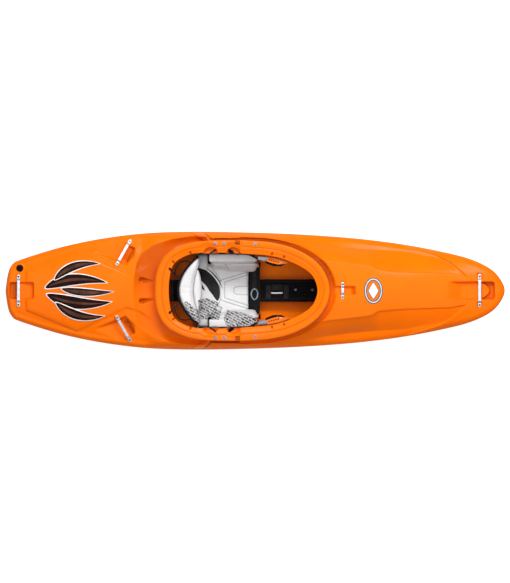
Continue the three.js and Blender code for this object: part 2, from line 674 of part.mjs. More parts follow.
function addSeat() {
  const padBottom = seat.padThickness;
  const panTop = padBottom + fitGap;
  const pad = slab(seatGrid(cushionPoint), seatGrid((r, c) => seatPoint(r, c, padBottom, 0)));
  add('seat_pad', pad, finishes.cushion);

  const railTop = floorLevel + fitGap + seatRail.height;
  const columns = [
    [-panFlange.outer, true], [-panFlange.inner, true], ...seatColumnShares.map((c) => [c, false]),
    [panFlange.inner, true], [panFlange.outer, true],
  ];
  const panGrid = (lowered) => seatRowShares.map((row) => columns.map(([place, flange]) => {
    if (!flange) return seatPoint(row, place, lowered, seat.panLip);
    const x = seat.rear + row * (-seat.rear);
    return new THREE.Vector3(x, place, panFlange.level - (lowered - panTop));
  }));
  const dish = slab(panGrid(panTop), panGrid(panTop + seat.panThickness));
  const runners = [-1, 1].map((side) => {
    const sides = [runner.inner * side, runner.outer * side].sort((a, b) => a - b);
    return boxBetween([runner.rear, runner.front], sides, [railTop + fitGap, seat.height - panTop - fitGap]);
  });
  add('seat_pan', union(dish, ...runners), finishes.blackPlastic);
  const rails = [-1, 1].map((side) => {
    const sides = [seatRail.inner * side, seatRail.outer * side].sort((a, b) => a - b);
    return boxBetween([seatRail.rear, seatRail.front], sides, [floorLevel + fitGap, railTop]);
  });
  const ties = [seatRail.rear, seatRail.front - seatRail.tieLength].map((x) => boxBetween(
    [x, x + seatRail.tieLength],
    [-seatRail.inner - fitGap, seatRail.inner + fitGap],
    [floorLevel + fitGap, railTop],
  ));
  add('seat_rails', union(...rails, ...ties), finishes.blackPlastic);
}
addSeat();

// Side brackets stand on the pan's edges; hip pads line them.
const bracket = { rear: -328, front: -50, thickness: 4, low: 56, high: 258, pivotX: -312, pivotZ: 190 };
const hipPad = {
  rear: -255, front: 18, low: 68.3, high: 258, inner: 158, outer: 203.2, bulge: 12, bulgeLow: 132,
  chamferStart: -25, chamferEnd: 28, chamferDepth: 36, drawnIn: 5,
};
const hipRowShares = [0, 0.05, 0.2, 0.4, 0.6, 0.8, 0.95, 1];
const hipColumnShares = [0, 0.04, 0.33, 0.45, 0.6, 0.75, 0.9, 0.96, 1];

function addHipPad(sideName, side) {
  const outerAt = (x) => {
    const run = (x - hipPad.chamferStart) / (hipPad.chamferEnd - hipPad.chamferStart);
    const share = THREE.MathUtils.clamp(run, 0, 1);
    return hipPad.outer - hipPad.chamferDepth * share;
  };
  const pointAt = (row, column, inner) => {
    const x = THREE.MathUtils.lerp(hipPad.rear, hipPad.front, row);
    const z = THREE.MathUtils.lerp(hipPad.low, hipPad.high, column);
    const rounded = row === 0 || row === 1 || column === 1 ? hipPad.drawnIn : 0;
    const swell = z > hipPad.bulgeLow
      ? hipPad.bulge * Math.sin((Math.PI * (z - hipPad.bulgeLow)) / (hipPad.high - hipPad.bulgeLow)) : 0;
    const y = inner ? hipPad.inner + rounded - swell * Math.sqrt(Math.sin(Math.PI * row)) : outerAt(x);
    return new THREE.Vector3(x, y, z);
  };
  const grid = (inner) => hipRowShares.map((row) => hipColumnShares.map((column) => pointAt(row, column, inner)));
  add(`hip_pad_${sideName}`, onSide(slab(grid(true), grid(false)), side), finishes.cushion);
}

const pivotPin = { radius: 6, headRadius: 10, headThickness: 4, innerEnd: 190.6, sides: 14 };

function pinAlongY(radius, [y0, y1], x, z) {
  return new THREE.CylinderGeometry(radius, radius, y1 - y0, pivotPin.sides).translate(x, (y0 + y1) / 2, z);
}

function addBracket(sideName, side) {
  const inner = panFlange.outer + fitGap;
  const outer = inner + bracket.thickness;
  const panel = boxBetween([bracket.rear, bracket.front], [inner, outer], [bracket.low, bracket.high]);
  const through = [inner - overrun, outer + overrun];
  const hole = pinAlongY(pivotPin.radius + fitGap, through, bracket.pivotX, bracket.pivotZ);
  add(`seat_bracket_${sideName}`, onSide(cut(panel, hole), side), finishes.blackPlastic);
  const headStart = outer + fitGap;
  const headEnd = headStart + pivotPin.headThickness;
  const pin = union(
    pinAlongY(pivotPin.radius, [pivotPin.innerEnd, (headStart + headEnd) / 2], bracket.pivotX, bracket.pivotZ),
    pinAlongY(pivotPin.headRadius, [headStart, headEnd], bracket.pivotX, bracket.pivotZ),
  );
  add(`backrest_pin_${sideName}`, onSide(pin, side), finishes.steel);
}

for (const [sideName, side] of sideNames) {
  addHipPad(sideName, side);
  addBracket(sideName, side);
}

// Backrest: a curved shell with a thick cushion in front of it, pivoting on the two pins.
const backrest = {
  halfWidth: 190.3, apex: -423, sag: 111, low: 140, high: 262, shellThickness: 5,
  padHalfWidth: 180, padLow: 142, padHigh: 268, padCentre: 78, padEnd: 30, steps: 14, sectionPoints: 12,
};
const padShares = { taperPower: 2.5, shrink: 0.25, shrinkPower: 6, squareness: 0.6, tip: 1.02 };

const shellRear = (y) => backrest.apex + backrest.sag * (y / backrest.halfWidth) ** 2;

function addBackrest() {
  const rows = [];
  for (let k = 0; k <= backrest.steps; k += 1) rows.push(-1 + (2 * k) / backrest.steps);
  const face = (offset) => rows.map((share) => {
    const y = share * backrest.halfWidth;
    return [backrest.low, backrest.high].map((z) => new THREE.Vector3(shellRear(y) + offset, y, z));
  });
  add('backrest_shell', slab(face(0), face(backrest.shellThickness)), finishes.blackPlastic);

  const middle = (backrest.padLow + backrest.padHigh) / 2;
  const tall = (backrest.padHigh - backrest.padLow) / 2;
  const ring = (share) => {
    const y = share * backrest.padHalfWidth;
    const taper = Math.abs(share) ** padShares.taperPower;
    const deep = THREE.MathUtils.lerp(backrest.padCentre, backrest.padEnd, taper) / 2;
    const shrink = 1 - padShares.shrink * Math.abs(share) ** padShares.shrinkPower;
    const centre = shellRear(y) + backrest.shellThickness + fitGap + deep;
    const points = [];
    for (let j = 0; j < backrest.sectionPoints; j += 1) {
      const angle = (2 * Math.PI * (j + 0.5)) / backrest.sectionPoints;
      const [c, s] = [Math.cos(angle), Math.sin(angle)];
      const bend = (value) => Math.sign(value) * Math.abs(value) ** padShares.squareness;
      points.push(new THREE.Vector3(centre + deep * shrink * bend(c), y, middle + tall * shrink * bend(s)));
    }
    return points;
  };
  const end = (side) => {
    const y = side * backrest.padHalfWidth;
    const x = shellRear(y) + backrest.shellThickness + fitGap + backrest.padEnd / 2;
    return new THREE.Vector3(x, y * padShares.tip, middle);
  };
  add('backrest_pad', skin(rows.map(ring), [end(-1), end(1)]), finishes.cushion);
}
addBackrest();

// Cords behind the backrest: thin loops on its shell, and thick ties up to the rim's shelf.
const cordLoop = { radius: 2, sides: 8, steps: 18 };
const cordLoopRoute = [
  [-349.2, 157, 238], [-382, 162, 240], [-412, 152, 242], [-431, 122, 243], [-436, 92, 243], [-418.2, 70, 242],
];
const cordTie = { radius: 3.5, sides: 8, steps: 14 };
const cordTieRoute = [[-469, 125, 307], [-455, 112, 307], [-440, 95, 296], [-424, 80, 272], [-413, 72, 248]];

for (const [sideName, side] of sideNames) {
  const cordAlong = (route, { radius, sides, steps }) =>
    tube(route.map(([x, y, z]) => [x, y * side, z]), radius, sides, steps);
  add(`backrest_loop_${sideName}`, cordAlong(cordLoopRoute, cordLoop), finishes.cord);
  add(`backrest_tie_${sideName}`, cordAlong(cordTieRoute, cordTie), finishes.cord);
}

// Foam pillar behind the backrest, hollowed at its rear edge, on a low block that reaches under the backrest.
const pillar = {
  front: -445, rear: -464, waist: -458, waistHalfWidth: 20, halfWidth: 60, high: 215, lift: 0.5,
  blockFront: -398, blockHigh: 112,
};

function addPillar() {
  const low = floorLevel + fitGap + pillar.lift;
  const upright = plate([
    [pillar.front, -pillar.halfWidth], [pillar.front, pillar.halfWidth], [pillar.rear, pillar.halfWidth],
    [pillar.waist, pillar.waistHalfWidth], [pillar.waist, -pillar.waistHalfWidth], [pillar.rear, -pillar.halfWidth],
  ], [low, pillar.high]);
  const block = boxBetween(
    [pillar.waist, pillar.blockFront],
    [-pillar.halfWidth, pillar.halfWidth],
    [low, pillar.blockHigh],
  );
  add('rear_pillar', union(upright, block), finishes.foam);
}
addPillar();

// Leg lifter in the seat's front notch: a plate, webbing across it and a pull ring.
const lifter = {
  front: 30, halfWidth: 127, top: 97, thickness: 5, skirtHalfWidth: 46.5, skirtThickness: 5,
  webbingWidth: 24, webbingThickness: 2, webbingStart: 16, webbingEnd: 124,
  ringY: -20, ringHalfX: 22, ringHalfY: 33, ringBar: 8, ringThickness: 5, ringSteps: 12,
};

function ellipsePath(path, cx, cy, rx, ry) {
  path.absellipse(cx, cy, rx, ry, 0, 2 * Math.PI);
  return path;
}

function addLifter() {
  const rear = seat.notch + fitGap;
  const low = lifter.top - lifter.thickness;
  const panFront = seatPoint(1, seatColumnShares[7], seat.padThickness, 0).z;
  const shelf = union(
    boxBetween([rear, lifter.front], [-lifter.halfWidth, lifter.halfWidth], [low, lifter.top]),
    boxBetween(
      [rear, rear + lifter.skirtThickness],
      [-lifter.skirtHalfWidth, lifter.skirtHalfWidth],
      [panFront, low + lifter.thickness / 2],
    ),
  );
  add('lifter_plate', shelf, finishes.blackPlastic);
  const above = lifter.top + fitGap;
  const webbing = boxBetween(
    [-lifter.webbingWidth / 2, lifter.webbingWidth / 2],
    [lifter.webbingStart, lifter.webbingEnd],
    [above, above + lifter.webbingThickness],
  );
  add('lifter_webbing', webbing, finishes.webbing);
  const ring = ellipsePath(new THREE.Shape(), 0, lifter.ringY, lifter.ringHalfX, lifter.ringHalfY);
  const holeHalves = [lifter.ringHalfX - lifter.ringBar, lifter.ringHalfY - lifter.ringBar];
  ring.holes.push(ellipsePath(new THREE.Path(), 0, lifter.ringY, ...holeHalves));
  const flat = { depth: lifter.ringThickness, bevelEnabled: false, curveSegments: lifter.ringSteps };
  const ringSolid = new THREE.ExtrudeGeometry(ring, flat);
  add('lifter_ring', ringSolid.translate(0, 0, above), finishes.steel);
}
addLifter();

// Moves a flat piece onto the rim's tilted plane: its heights then count from the rim.
function onRim(geometry) {
  const p = geometry.attributes.position;
  for (let i = 0; i < p.count; i += 1) p.setZ(i, p.getZ(i) + rimHeight(p.getX(i)));
  return geometry;
}

// Thigh hooks under the opening's edge, with a row of adjusting holes, a screw, a foam pad,
// and a ratchet with its lever at the rear end.
const hook = {
  top: rimBottom - fitGap, thickness: 5, holeRadius: 2.6, holeStart: [82, 168], holeEnd: [130, 156], holeCount: 5,
  screwPlace: [146, 153], screwHeadRadius: 5.5, screwHeadHeight: 4, screwShankRadius: 3, screwDepth: 3,
  padThickness: 16, padClearance: 1, sides: 10,
};
const hookOutline = [
  [22, 170], [24, 198], [60, 206], [130, 195], [160, 184], [196, 153], [168, 147], [128, 143], [92, 152],
  [60, 163],
];
const hookPadOutline = [[48, 178], [100, 178], [150, 164], [172, 148], [146, 133], [102, 134], [63, 149]];
const ratchet = {
  x: 44, y: 174, length: 50, width: 19, height: 9, leverLength: 44, leverWidth: 15, leverThickness: 3.5, turn: -9,
};

function addHook(sideName, side) {
  const low = hook.top - hook.thickness;
  const sided = (points) => (side > 0 ? points : points.map(([x, y]) => [x, -y]).reverse());
  const place = (x, y) => [x, y * side];
  const holes = [];
  for (let k = 0; k < hook.holeCount; k += 1) {
    const share = k / (hook.holeCount - 1);
    const x = THREE.MathUtils.lerp(hook.holeStart[0], hook.holeEnd[0], share);
    const y = THREE.MathUtils.lerp(hook.holeStart[1], hook.holeEnd[1], share);
    holes.push(post(hook.holeRadius, [low - overrun, hook.top + overrun], ...place(x, y), hook.sides));
  }
  const screwAt = place(...hook.screwPlace);
  holes.push(post(hook.screwShankRadius + fitGap, [low - overrun, hook.top + overrun], ...screwAt, hook.sides));
  add(`thigh_hook_${sideName}`, onRim(cut(plate(sided(hookOutline), [low, hook.top]), ...holes)), finishes.hook);

  const headLow = hook.top + fitGap;
  const headHigh = headLow + hook.screwHeadHeight;
  const hookScrew = union(
    post(hook.screwHeadRadius, [headLow, headHigh], ...screwAt, hook.sides),
    post(hook.screwShankRadius, [low - hook.screwDepth, headLow + fitGap], ...screwAt, hook.sides),
  );
  add(`thigh_hook_screw_${sideName}`, onRim(hookScrew), finishes.steel);

  const padHigh = low - fitGap;
  const pad = cut(
    plate(sided(hookPadOutline), [padHigh - hook.padThickness, padHigh]),
    post(
      hook.screwShankRadius + hook.padClearance,
      [low - hook.screwDepth - hook.padClearance, low + overrun],
      ...screwAt,
      hook.sides,
    ),
  );
  add(`thigh_pad_${sideName}`, onRim(pad), finishes.foam);

  const turn = THREE.MathUtils.degToRad(ratchet.turn * side);
  const turned = (geometry) => onRim(geometry.rotateZ(turn).translate(ratchet.x, ratchet.y * side, 0));
  const baseHigh = headLow + ratchet.height;
  const base = boxBetween(
    [-ratchet.length / 2, ratchet.length / 2],
    [-ratchet.width / 2, ratchet.width / 2],
    [headLow, baseHigh],
  );
  add(`ratchet_${sideName}`, turned(base), finishes.steel);
  const leverLow = baseHigh + fitGap;
  const lever = boxBetween(
    [-ratchet.leverLength / 2, ratchet.leverLength / 2],
    [-ratchet.leverWidth / 2, ratchet.leverWidth / 2],
    [leverLow, leverLow + ratchet.leverThickness],
  );
  add(`ratchet_lever_${sideName}`, turned(lever), finishes.steel);
}

// Ladder straps standing on edge just inside the opening, from the backrest to the hooks' tips.
const ladder = { thickness: 2, height: 12, low: hook.top + fitGap, inset: 4, rear: -300, front: 192, steps: 17 };

function openingHalfWidth(x) {
  const half = openingContour.slice(0, rim.segments / 2 + 1);
  const k = half.findIndex((p) => p.x <= x);
  return THREE.MathUtils.mapLinear(x, half[k - 1].x, half[k].x, half[k - 1].y, half[k].y);
}

function addLadderStrap(sideName, side) {
  const grid = (offset) => {
    const rows = [];
    for (let k = 0; k <= ladder.steps; k += 1) {
      const x = THREE.MathUtils.lerp(ladder.rear, ladder.front, k / ladder.steps);
      const y = Math.min(openingHalfWidth(x), openingWidth / 2) - ladder.inset - offset;
      rows.push([ladder.low, ladder.low + ladder.height].map((h) => new THREE.Vector3(x, y, rimHeight(x) + h)));
    }
    return rows;
  };
  add(`ladder_strap_${sideName}`, onSide(slab(grid(0), grid(ladder.thickness)), side), finishes.ladder);
}

for (const [sideName, side] of sideNames) {
  addHook(sideName, side);
  addLadderStrap(sideName, side);
}

// Centre beam on the floor ahead of the seat, with two strap bands and two screws.
const beam = { rear: 33, front: 720, flatFront: 200, halfWidth: 62, top: 80, steps: 7, riseGap: 1.2 };
const beamBand = { places: [[63, 91], [161, 189]], inner: -45, outer: 30, thickness: 2 };
const beamScrew = { places: [[228, 5], [322, 5]], headRadius: 9, headHeight: 5, shankRadius: 3, depth: 14, sides: 12 };

function addBeam() {
  const bottom = [[beam.rear, floorLevel + fitGap], [beam.flatFront, floorLevel + fitGap]];
  for (let k = 1; k <= beam.steps; k += 1) {
    const x = THREE.MathUtils.lerp(beam.flatFront, beam.front, k / beam.steps);
    bottom.push([x, bottomHeight(x, 0) + floorLevel + fitGap + beam.riseGap]);
  }
  const points = [...bottom, [beam.front, beam.top], [beam.rear, beam.top]].map(([x, z]) => new THREE.Vector2(x, z));
  const block = new THREE.ExtrudeGeometry(new THREE.Shape(points), { depth: 2 * beam.halfWidth, bevelEnabled: false })
    .rotateX(Math.PI / 2)
    .translate(0, beam.halfWidth, 0);
  const holeEnds = [beam.top - beamScrew.depth - fitGap, beam.top + overrun];
  const holes = beamScrew.places.map(([x, y]) =>
    post(beamScrew.shankRadius + fitGap, holeEnds, x, y, beamScrew.sides));
  add('centre_beam', cut(block, ...holes), finishes.blackPlastic);
  const above = beam.top + fitGap;
  beamBand.places.forEach(([x0, x1], k) => {
    const band = boxBetween([x0, x1], [beamBand.inner, beamBand.outer], [above, above + beamBand.thickness]);
    add(`beam_band_${k + 1}`, band, finishes.webbing);
  });
  beamScrew.places.forEach(([x, y], k) => {
    const knob = union(
      post(beamScrew.headRadius, [above, above + beamScrew.headHeight], x, y, beamScrew.sides),
      post(beamScrew.shankRadius, [beam.top - beamScrew.depth, above + fitGap], x, y, beamScrew.sides),
    );
    add(`beam_screw_${k + 1}`, knob, finishes.steel);
  });
}
addBeam();

// Footplate on a carriage that slides along the beam.
const foot = {
  rear: 520, carriageLength: 90, carriageHalfWidth: 58, carriageHeight: 14, plateRear: 580, plateThickness: 8,
  plateHalfWidth: 140, plateHigh: 270,
};

function addFootplate() {
  const low = beam.top + fitGap;
  const carriage = boxBetween(
    [foot.rear, foot.rear + foot.carriageLength],
    [-foot.carriageHalfWidth, foot.carriageHalfWidth],
    [low, low + foot.carriageHeight],
  );
  const upright = boxBetween(
    [foot.plateRear, foot.plateRear + foot.plateThickness],
    [-foot.plateHalfWidth, foot.plateHalfWidth],
    [low + foot.carriageHeight / 2, foot.plateHigh],
  );
  add('footplate', union(carriage, upright), finishes.blackPlastic);
}
addFootplate();

// The shell last takes its bosses, the seats of the feet, the holes and the scallops.
const finished = hullTools.map(toSolid).reduce(
  (shell, tool) => shell.subtract(tool),
  hullJoins.map(toSolid).reduce((shell, boss) => shell.add(boss), toSolid(hull.geometry)),
);
hull.geometry = toGeometry(finished);

export default kayak;
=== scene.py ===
import bpy
import bmesh
import json
import numpy as np
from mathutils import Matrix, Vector

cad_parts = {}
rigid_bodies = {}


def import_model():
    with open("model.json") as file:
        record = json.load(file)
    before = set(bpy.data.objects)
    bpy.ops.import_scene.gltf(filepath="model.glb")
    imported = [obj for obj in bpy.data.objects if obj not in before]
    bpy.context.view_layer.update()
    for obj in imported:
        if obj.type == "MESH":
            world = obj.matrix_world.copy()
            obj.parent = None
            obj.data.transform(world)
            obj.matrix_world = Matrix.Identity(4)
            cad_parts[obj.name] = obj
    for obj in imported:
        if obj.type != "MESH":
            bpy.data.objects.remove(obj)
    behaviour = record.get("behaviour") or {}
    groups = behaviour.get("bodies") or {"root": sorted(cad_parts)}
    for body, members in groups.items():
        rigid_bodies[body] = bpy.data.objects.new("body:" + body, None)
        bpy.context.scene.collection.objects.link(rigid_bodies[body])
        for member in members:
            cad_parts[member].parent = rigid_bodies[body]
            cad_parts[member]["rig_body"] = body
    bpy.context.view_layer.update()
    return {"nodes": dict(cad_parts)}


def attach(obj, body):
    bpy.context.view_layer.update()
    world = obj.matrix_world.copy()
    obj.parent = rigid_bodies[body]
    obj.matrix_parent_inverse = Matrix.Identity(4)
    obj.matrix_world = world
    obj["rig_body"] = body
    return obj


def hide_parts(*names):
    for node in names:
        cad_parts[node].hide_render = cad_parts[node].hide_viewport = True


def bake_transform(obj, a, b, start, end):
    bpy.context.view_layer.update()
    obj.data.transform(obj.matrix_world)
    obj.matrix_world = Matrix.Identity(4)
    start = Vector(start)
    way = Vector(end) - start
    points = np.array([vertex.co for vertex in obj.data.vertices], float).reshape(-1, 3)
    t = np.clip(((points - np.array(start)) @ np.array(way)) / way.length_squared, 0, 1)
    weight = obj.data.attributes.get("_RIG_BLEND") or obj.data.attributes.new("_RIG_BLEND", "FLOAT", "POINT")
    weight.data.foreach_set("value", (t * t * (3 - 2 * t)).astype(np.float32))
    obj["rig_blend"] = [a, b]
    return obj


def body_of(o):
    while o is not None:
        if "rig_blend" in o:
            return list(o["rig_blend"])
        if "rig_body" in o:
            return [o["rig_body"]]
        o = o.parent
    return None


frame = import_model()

# A whitewater kayak: +X to the bow, +Y to port, +Z up. Sizes are in millimetres until a mesh is made.
scene = bpy.context.scene
mm = 0.001
halfLength = 1370.0
halfBeam = 325.0
profileHeight = 400.0
wallThickness = 7.0
sides = (("port", 1), ("starboard", -1))


# Looks: node materials on object coordinates.
def shaderOf(name, colour, roughness=0.5, metallic=0.0):
    # a principled shader with its plain values on its own sockets
    material = bpy.data.materials.new(name)
    material.use_nodes = True
    shader = material.node_tree.nodes["Principled BSDF"]
    shader.inputs["Base Color"].default_value = (*colour, 1)
    shader.inputs["Roughness"].default_value = roughness
    shader.inputs["Metallic"].default_value = metallic
    return material, shader


def addNode(material, kind, inputs=None, **settings):
    made = material.node_tree.nodes.new(kind)
    for key, value in settings.items():
        setattr(made, key, value)
    for key, value in (inputs or {}).items():
        made.inputs[key].default_value = value
    return made


def wire(material, source, target):
    material.node_tree.links.new(source, target)


def placeOf(material, scale=(1, 1, 1), turn=(0, 0, 0), shift=(0, 0, 0)):
    # object coordinates, turned and stretched
    place = addNode(material, "ShaderNodeTexCoord")
    mapping = addNode(material, "ShaderNodeMapping", {"Scale": scale, "Rotation": turn, "Location": shift})
    wire(material, place.outputs["Object"], mapping.inputs["Vector"])
    return mapping.outputs["Vector"]


def noiseOf(material, vector, scale, detail=4.0):
    noise = addNode(material, "ShaderNodeTexNoise", {"Scale": scale, "Detail": detail})
    wire(material, vector, noise.inputs["Vector"])
    return noise.outputs["Fac"]


def rampOf(material, value, stops):  # colours along a value: each stop is a place and a colour
    ramp = addNode(material, "ShaderNodeValToRGB")
    wire(material, value, ramp.inputs["Fac"])
    while len(ramp.color_ramp.elements) < len(stops):
        ramp.color_ramp.elements.new(0.5)
    for element, (at, colour) in zip(ramp.color_ramp.elements, stops):
        element.position = at
        element.color = (*colour, 1)
    return ramp.outputs["Color"]


def mixOf(material, share, first, second, blend="MIX"):  # share, first and second are sockets or plain values
    mix = addNode(material, "ShaderNodeMix", data_type="RGBA", blend_type=blend)
    for socket, value in ((mix.inputs[0], share), (mix.inputs[6], first), (mix.inputs[7], second)):
        if isinstance(value, bpy.types.NodeSocket):
            wire(material, value, socket)
        else:
            socket.default_value = value
    return mix.outputs[2]


def sumOf(material, operation, *values, clamp=False):  # a math node on sockets and plain numbers
    made = addNode(material, "ShaderNodeMath", operation=operation, use_clamp=clamp)
    for socket, value in zip(made.inputs, values):
        if isinstance(value, bpy.types.NodeSocket):
            wire(material, value, socket)
        else:
            socket.default_value = value
    return made.outputs[0]


def spreadOf(material, value, low, high, start=0.3, end=0.7):
    # a value between start and end moved to low and high
    spread = addNode(material, "ShaderNodeMapRange", {"From Min": start, "From Max": end, "To Min": low,
                                                      "To Max": high})
    wire(material, value, spread.inputs["Value"])
    return spread.outputs["Result"]


def bumpOf(material, shader, height, depth, strength=1.0, below=None):
    bump = addNode(material, "ShaderNodeBump", {"Strength": strength, "Distance": depth * mm})
    wire(material, height, bump.inputs["Height"])
    if below:
        wire(material, below, bump.inputs["Normal"])
    wire(material, bump.outputs["Normal"], shader.inputs["Normal"])
    return bump.outputs["Normal"]


def plainLook(name, look):  # mottled colour, uneven gloss and a fine grain, all from noise
    material, shader = shaderOf(name, look["colour"], look["rough"][0], look.get("metal", 0.0))
    vector = placeOf(material, look.get("stretch", (1, 1, 1)))
    patches = noiseOf(material, vector, look["patches"], 5.0)
    wire(material, rampOf(material, patches, [(0.35, look["shade"]), (0.65, look["colour"])]),
         shader.inputs["Base Color"])
    wire(material, spreadOf(material, noiseOf(material, vector, look["patches"] * 2.3), *look["rough"]),
         shader.inputs["Roughness"])
    bumpOf(material, shader, noiseOf(material, vector, look["grain"], 2.0), look["depth"])
    shader.inputs["Specular IOR Level"].default_value = look.get("specular", 0.5)
    return material


def weaveLook(name, look):  # crossed ribs of yarn on a mottled cloth
    material, shader = shaderOf(name, look["colour"], 0.85)
    vector = placeOf(material)
    ribs = [addNode(material, "ShaderNodeTexWave", {"Scale": look["ribs"], "Distortion": 0.4},
                    bands_direction=way) for way in "XY"]
    for rib in ribs:
        wire(material, vector, rib.inputs["Vector"])
    cloth = sumOf(material, "MULTIPLY", ribs[0].outputs["Fac"], ribs[1].outputs["Fac"])
    patches = noiseOf(material, vector, look["patches"], 4.0)
    tone = sumOf(material, "ADD", sumOf(material, "MULTIPLY", cloth, 0.6),
                 sumOf(material, "MULTIPLY", patches, 0.5))
    wire(material, rampOf(material, tone, [(0.2, look["shade"]), (0.75, look["colour"])]),
         shader.inputs["Base Color"])
    bumpOf(material, shader, cloth, look["depth"])
    shader.inputs["Sheen Weight"].default_value = look.get("sheen", 0.05)
    shader.inputs["Specular IOR Level"].default_value = look.get("specular", 0.08)
    return material


hullLooks = {
    "orange": (0.98, 0.170, 0.0002), "orangeShade": (0.94, 0.152, 0.0002), "scuff": (0.98, 0.20, 0.008),
    "rough": (0.15, 0.23), "patches": 7.0, "grain": 520.0, "depth": 0.05, "specular": 0.07,
    # the darker orange below is painted shade for the hollows of the deck and rim
    "paintedShade": (0.38, 0.054, 0.0001),
}


def moulded(name, look):
    # moulded polyethylene: broad mottling, orange-peel grain, fine scuffs along the boat and painted shade in
    # hollows
    material, shader = shaderOf(name, look["orange"], look["rough"][0])
    vector = placeOf(material)
    broad = noiseOf(material, vector, look["patches"], 6.0)
    colour = rampOf(material, broad, [(0.3, look["orangeShade"]), (0.7, look["orange"])])
    along = placeOf(material, (9, 160, 160), (0, 0, 0.06))
    scuffs = spreadOf(material, noiseOf(material, along, 3.0, 8.0), 0.0, 0.16, 0.66, 0.78)
    worn = mixOf(material, scuffs, colour, (*look["scuff"], 1))
    # painted shade: the hollows of the deck and rim, and the port walls facing away from the light, are mixed
    # towards a darker orange
    paintedShade = addNode(material, "ShaderNodeAttribute", attribute_name="paintedShade")
    wire(material, mixOf(material, paintedShade.outputs["Fac"], worn, (*look["paintedShade"], 1)),
         shader.inputs["Base Color"])
    gloss = spreadOf(material, noiseOf(material, vector, 24.0, 5.0), *look["rough"])
    wire(material, sumOf(material, "ADD", gloss, sumOf(material, "MULTIPLY", scuffs, 0.7)),
         shader.inputs["Roughness"])
    peel = bumpOf(material, shader, noiseOf(material, vector, look["grain"], 3.0), look["depth"])
    bumpOf(material, shader, noiseOf(material, vector, 11.0, 2.0), 0.5, 0.6, peel)
    shader.inputs["Specular IOR Level"].default_value = look["specular"]
    return material


finishes = {
    "steel": {"colour": (0.44, 0.54, 0.61), "shade": (0.34, 0.43, 0.50), "rough": (0.36, 0.48),
              "metal": 1.0, "patches": 60.0, "grain": 900.0, "depth": 0.008},
    "blackPlastic": {"colour": (0.008, 0.008, 0.009), "shade": (0.004, 0.004, 0.005),
                     "rough": (0.42, 0.62), "patches": 30.0, "grain": 700.0, "depth": 0.08,
                     "specular": 0.05},
    "blackFoam": {"colour": (0.008, 0.008, 0.009), "shade": (0.003, 0.003, 0.004), "rough": (0.75, 0.95),
                  "patches": 60.0, "grain": 420.0, "depth": 0.25, "specular": 0.06},
    "hookPlastic": {"colour": (0.90, 0.17, 0.002), "shade": (0.80, 0.14, 0.002), "rough": (0.35, 0.5),
                    "patches": 40.0, "grain": 600.0, "depth": 0.05, "specular": 0.12},
    "strapBlue": {"colour": (0.016, 0.040, 0.066), "shade": (0.004, 0.008, 0.014), "rough": (0.35, 0.55),
                  "patches": 90.0, "grain": 500.0, "depth": 0.08, "specular": 0.2},
    "darkSteel": {"colour": (0.20, 0.24, 0.28), "shade": (0.10, 0.12, 0.14), "rough": (0.2, 0.4),
                  "metal": 1.0, "patches": 80.0, "grain": 900.0, "depth": 0.03},
    # the next colour is painted shade for the inside of the rim bolts' sockets
    "boltSocketShade": {"colour": (0.05, 0.08, 0.11), "shade": (0.02, 0.03, 0.05), "rough": (0.3, 0.5),
                   "metal": 1.0, "patches": 80.0, "grain": 900.0, "depth": 0.03},
    "dullSteel": {"colour": (0.26, 0.34, 0.40), "shade": (0.12, 0.17, 0.22), "rough": (0.4, 0.55),
                  "patches": 90.0, "grain": 900.0, "depth": 0.02, "specular": 0.3},
    "greyPlastic": {"colour": (0.016, 0.0165, 0.018), "shade": (0.008, 0.008, 0.009),
                    "rough": (0.35, 0.55), "patches": 40.0, "grain": 700.0, "depth": 0.08, "specular": 0.06},
    "printWhite": {"colour": (0.90, 0.90, 0.89), "shade": (0.82, 0.82, 0.81), "rough": (0.3, 0.45),
                   "patches": 30.0, "grain": 600.0, "depth": 0.02, "specular": 0.12},
    "printPale": {"colour": (0.62, 0.72, 0.80), "shade": (0.56, 0.66, 0.74), "rough": (0.3, 0.45),
                  "patches": 30.0, "grain": 600.0, "depth": 0.02, "specular": 0.04},
    "printBrown": {"colour": (0.020, 0.004, 0.002), "shade": (0.010, 0.002, 0.001), "rough": (0.3, 0.45),
                   "patches": 14.0, "grain": 600.0, "depth": 0.02, "specular": 0.04},
    "printTan": {"colour": (0.11, 0.045, 0.03), "shade": (0.05, 0.02, 0.014), "rough": (0.3, 0.45),
                 "patches": 14.0, "grain": 600.0, "depth": 0.02, "specular": 0.04},
    "printSlate": {"colour": (0.05, 0.09, 0.13), "shade": (0.03, 0.06, 0.09), "rough": (0.3, 0.45),
                   "patches": 30.0, "grain": 600.0, "depth": 0.02, "specular": 0.04},
}
hullOrange = moulded("hull_orange", hullLooks)
# painted light: the lining is a brighter, yellower copy of the hull's orange, standing in for light inside
# the hull
brightenedInsideLooks = {**hullLooks, "orange": (1.0, 0.21, 0.0006), "orangeShade": (0.96, 0.185, 0.0006),
               "specular": 0.03}
brightenedHullInside = moulded("hull_inside_brightened", brightenedInsideLooks)
looks = {name: plainLook(name, look) for name, look in finishes.items()}
weaves = {
    "webbing": {"colour": (0.040, 0.042, 0.045), "shade": (0.012, 0.012, 0.013), "ribs": 160.0,
                "patches": 40.0, "depth": 0.4},
    "cord": {"colour": (0.014, 0.016, 0.020), "shade": (0.004, 0.004, 0.006), "ribs": 220.0,
             "patches": 60.0, "depth": 0.4},
}
for name, look in weaves.items():
    looks[name] = weaveLook(name, look)
print("looks ready")


# Meshes from arrays.
def stacked(*parts):  # places from their three coordinates, each an array or one number
    return np.stack(np.broadcast_arrays(*parts), -1)


def valuesOf(items, field):  # three numbers for each point or face of a mesh, as rows
    found = np.zeros(len(items) * 3, np.float32)
    items.foreach_get(field, found)
    return found.reshape(-1, 3)


def coordinatesOf(mesh):
    return valuesOf(mesh.vertices, "co").astype(float) / mm


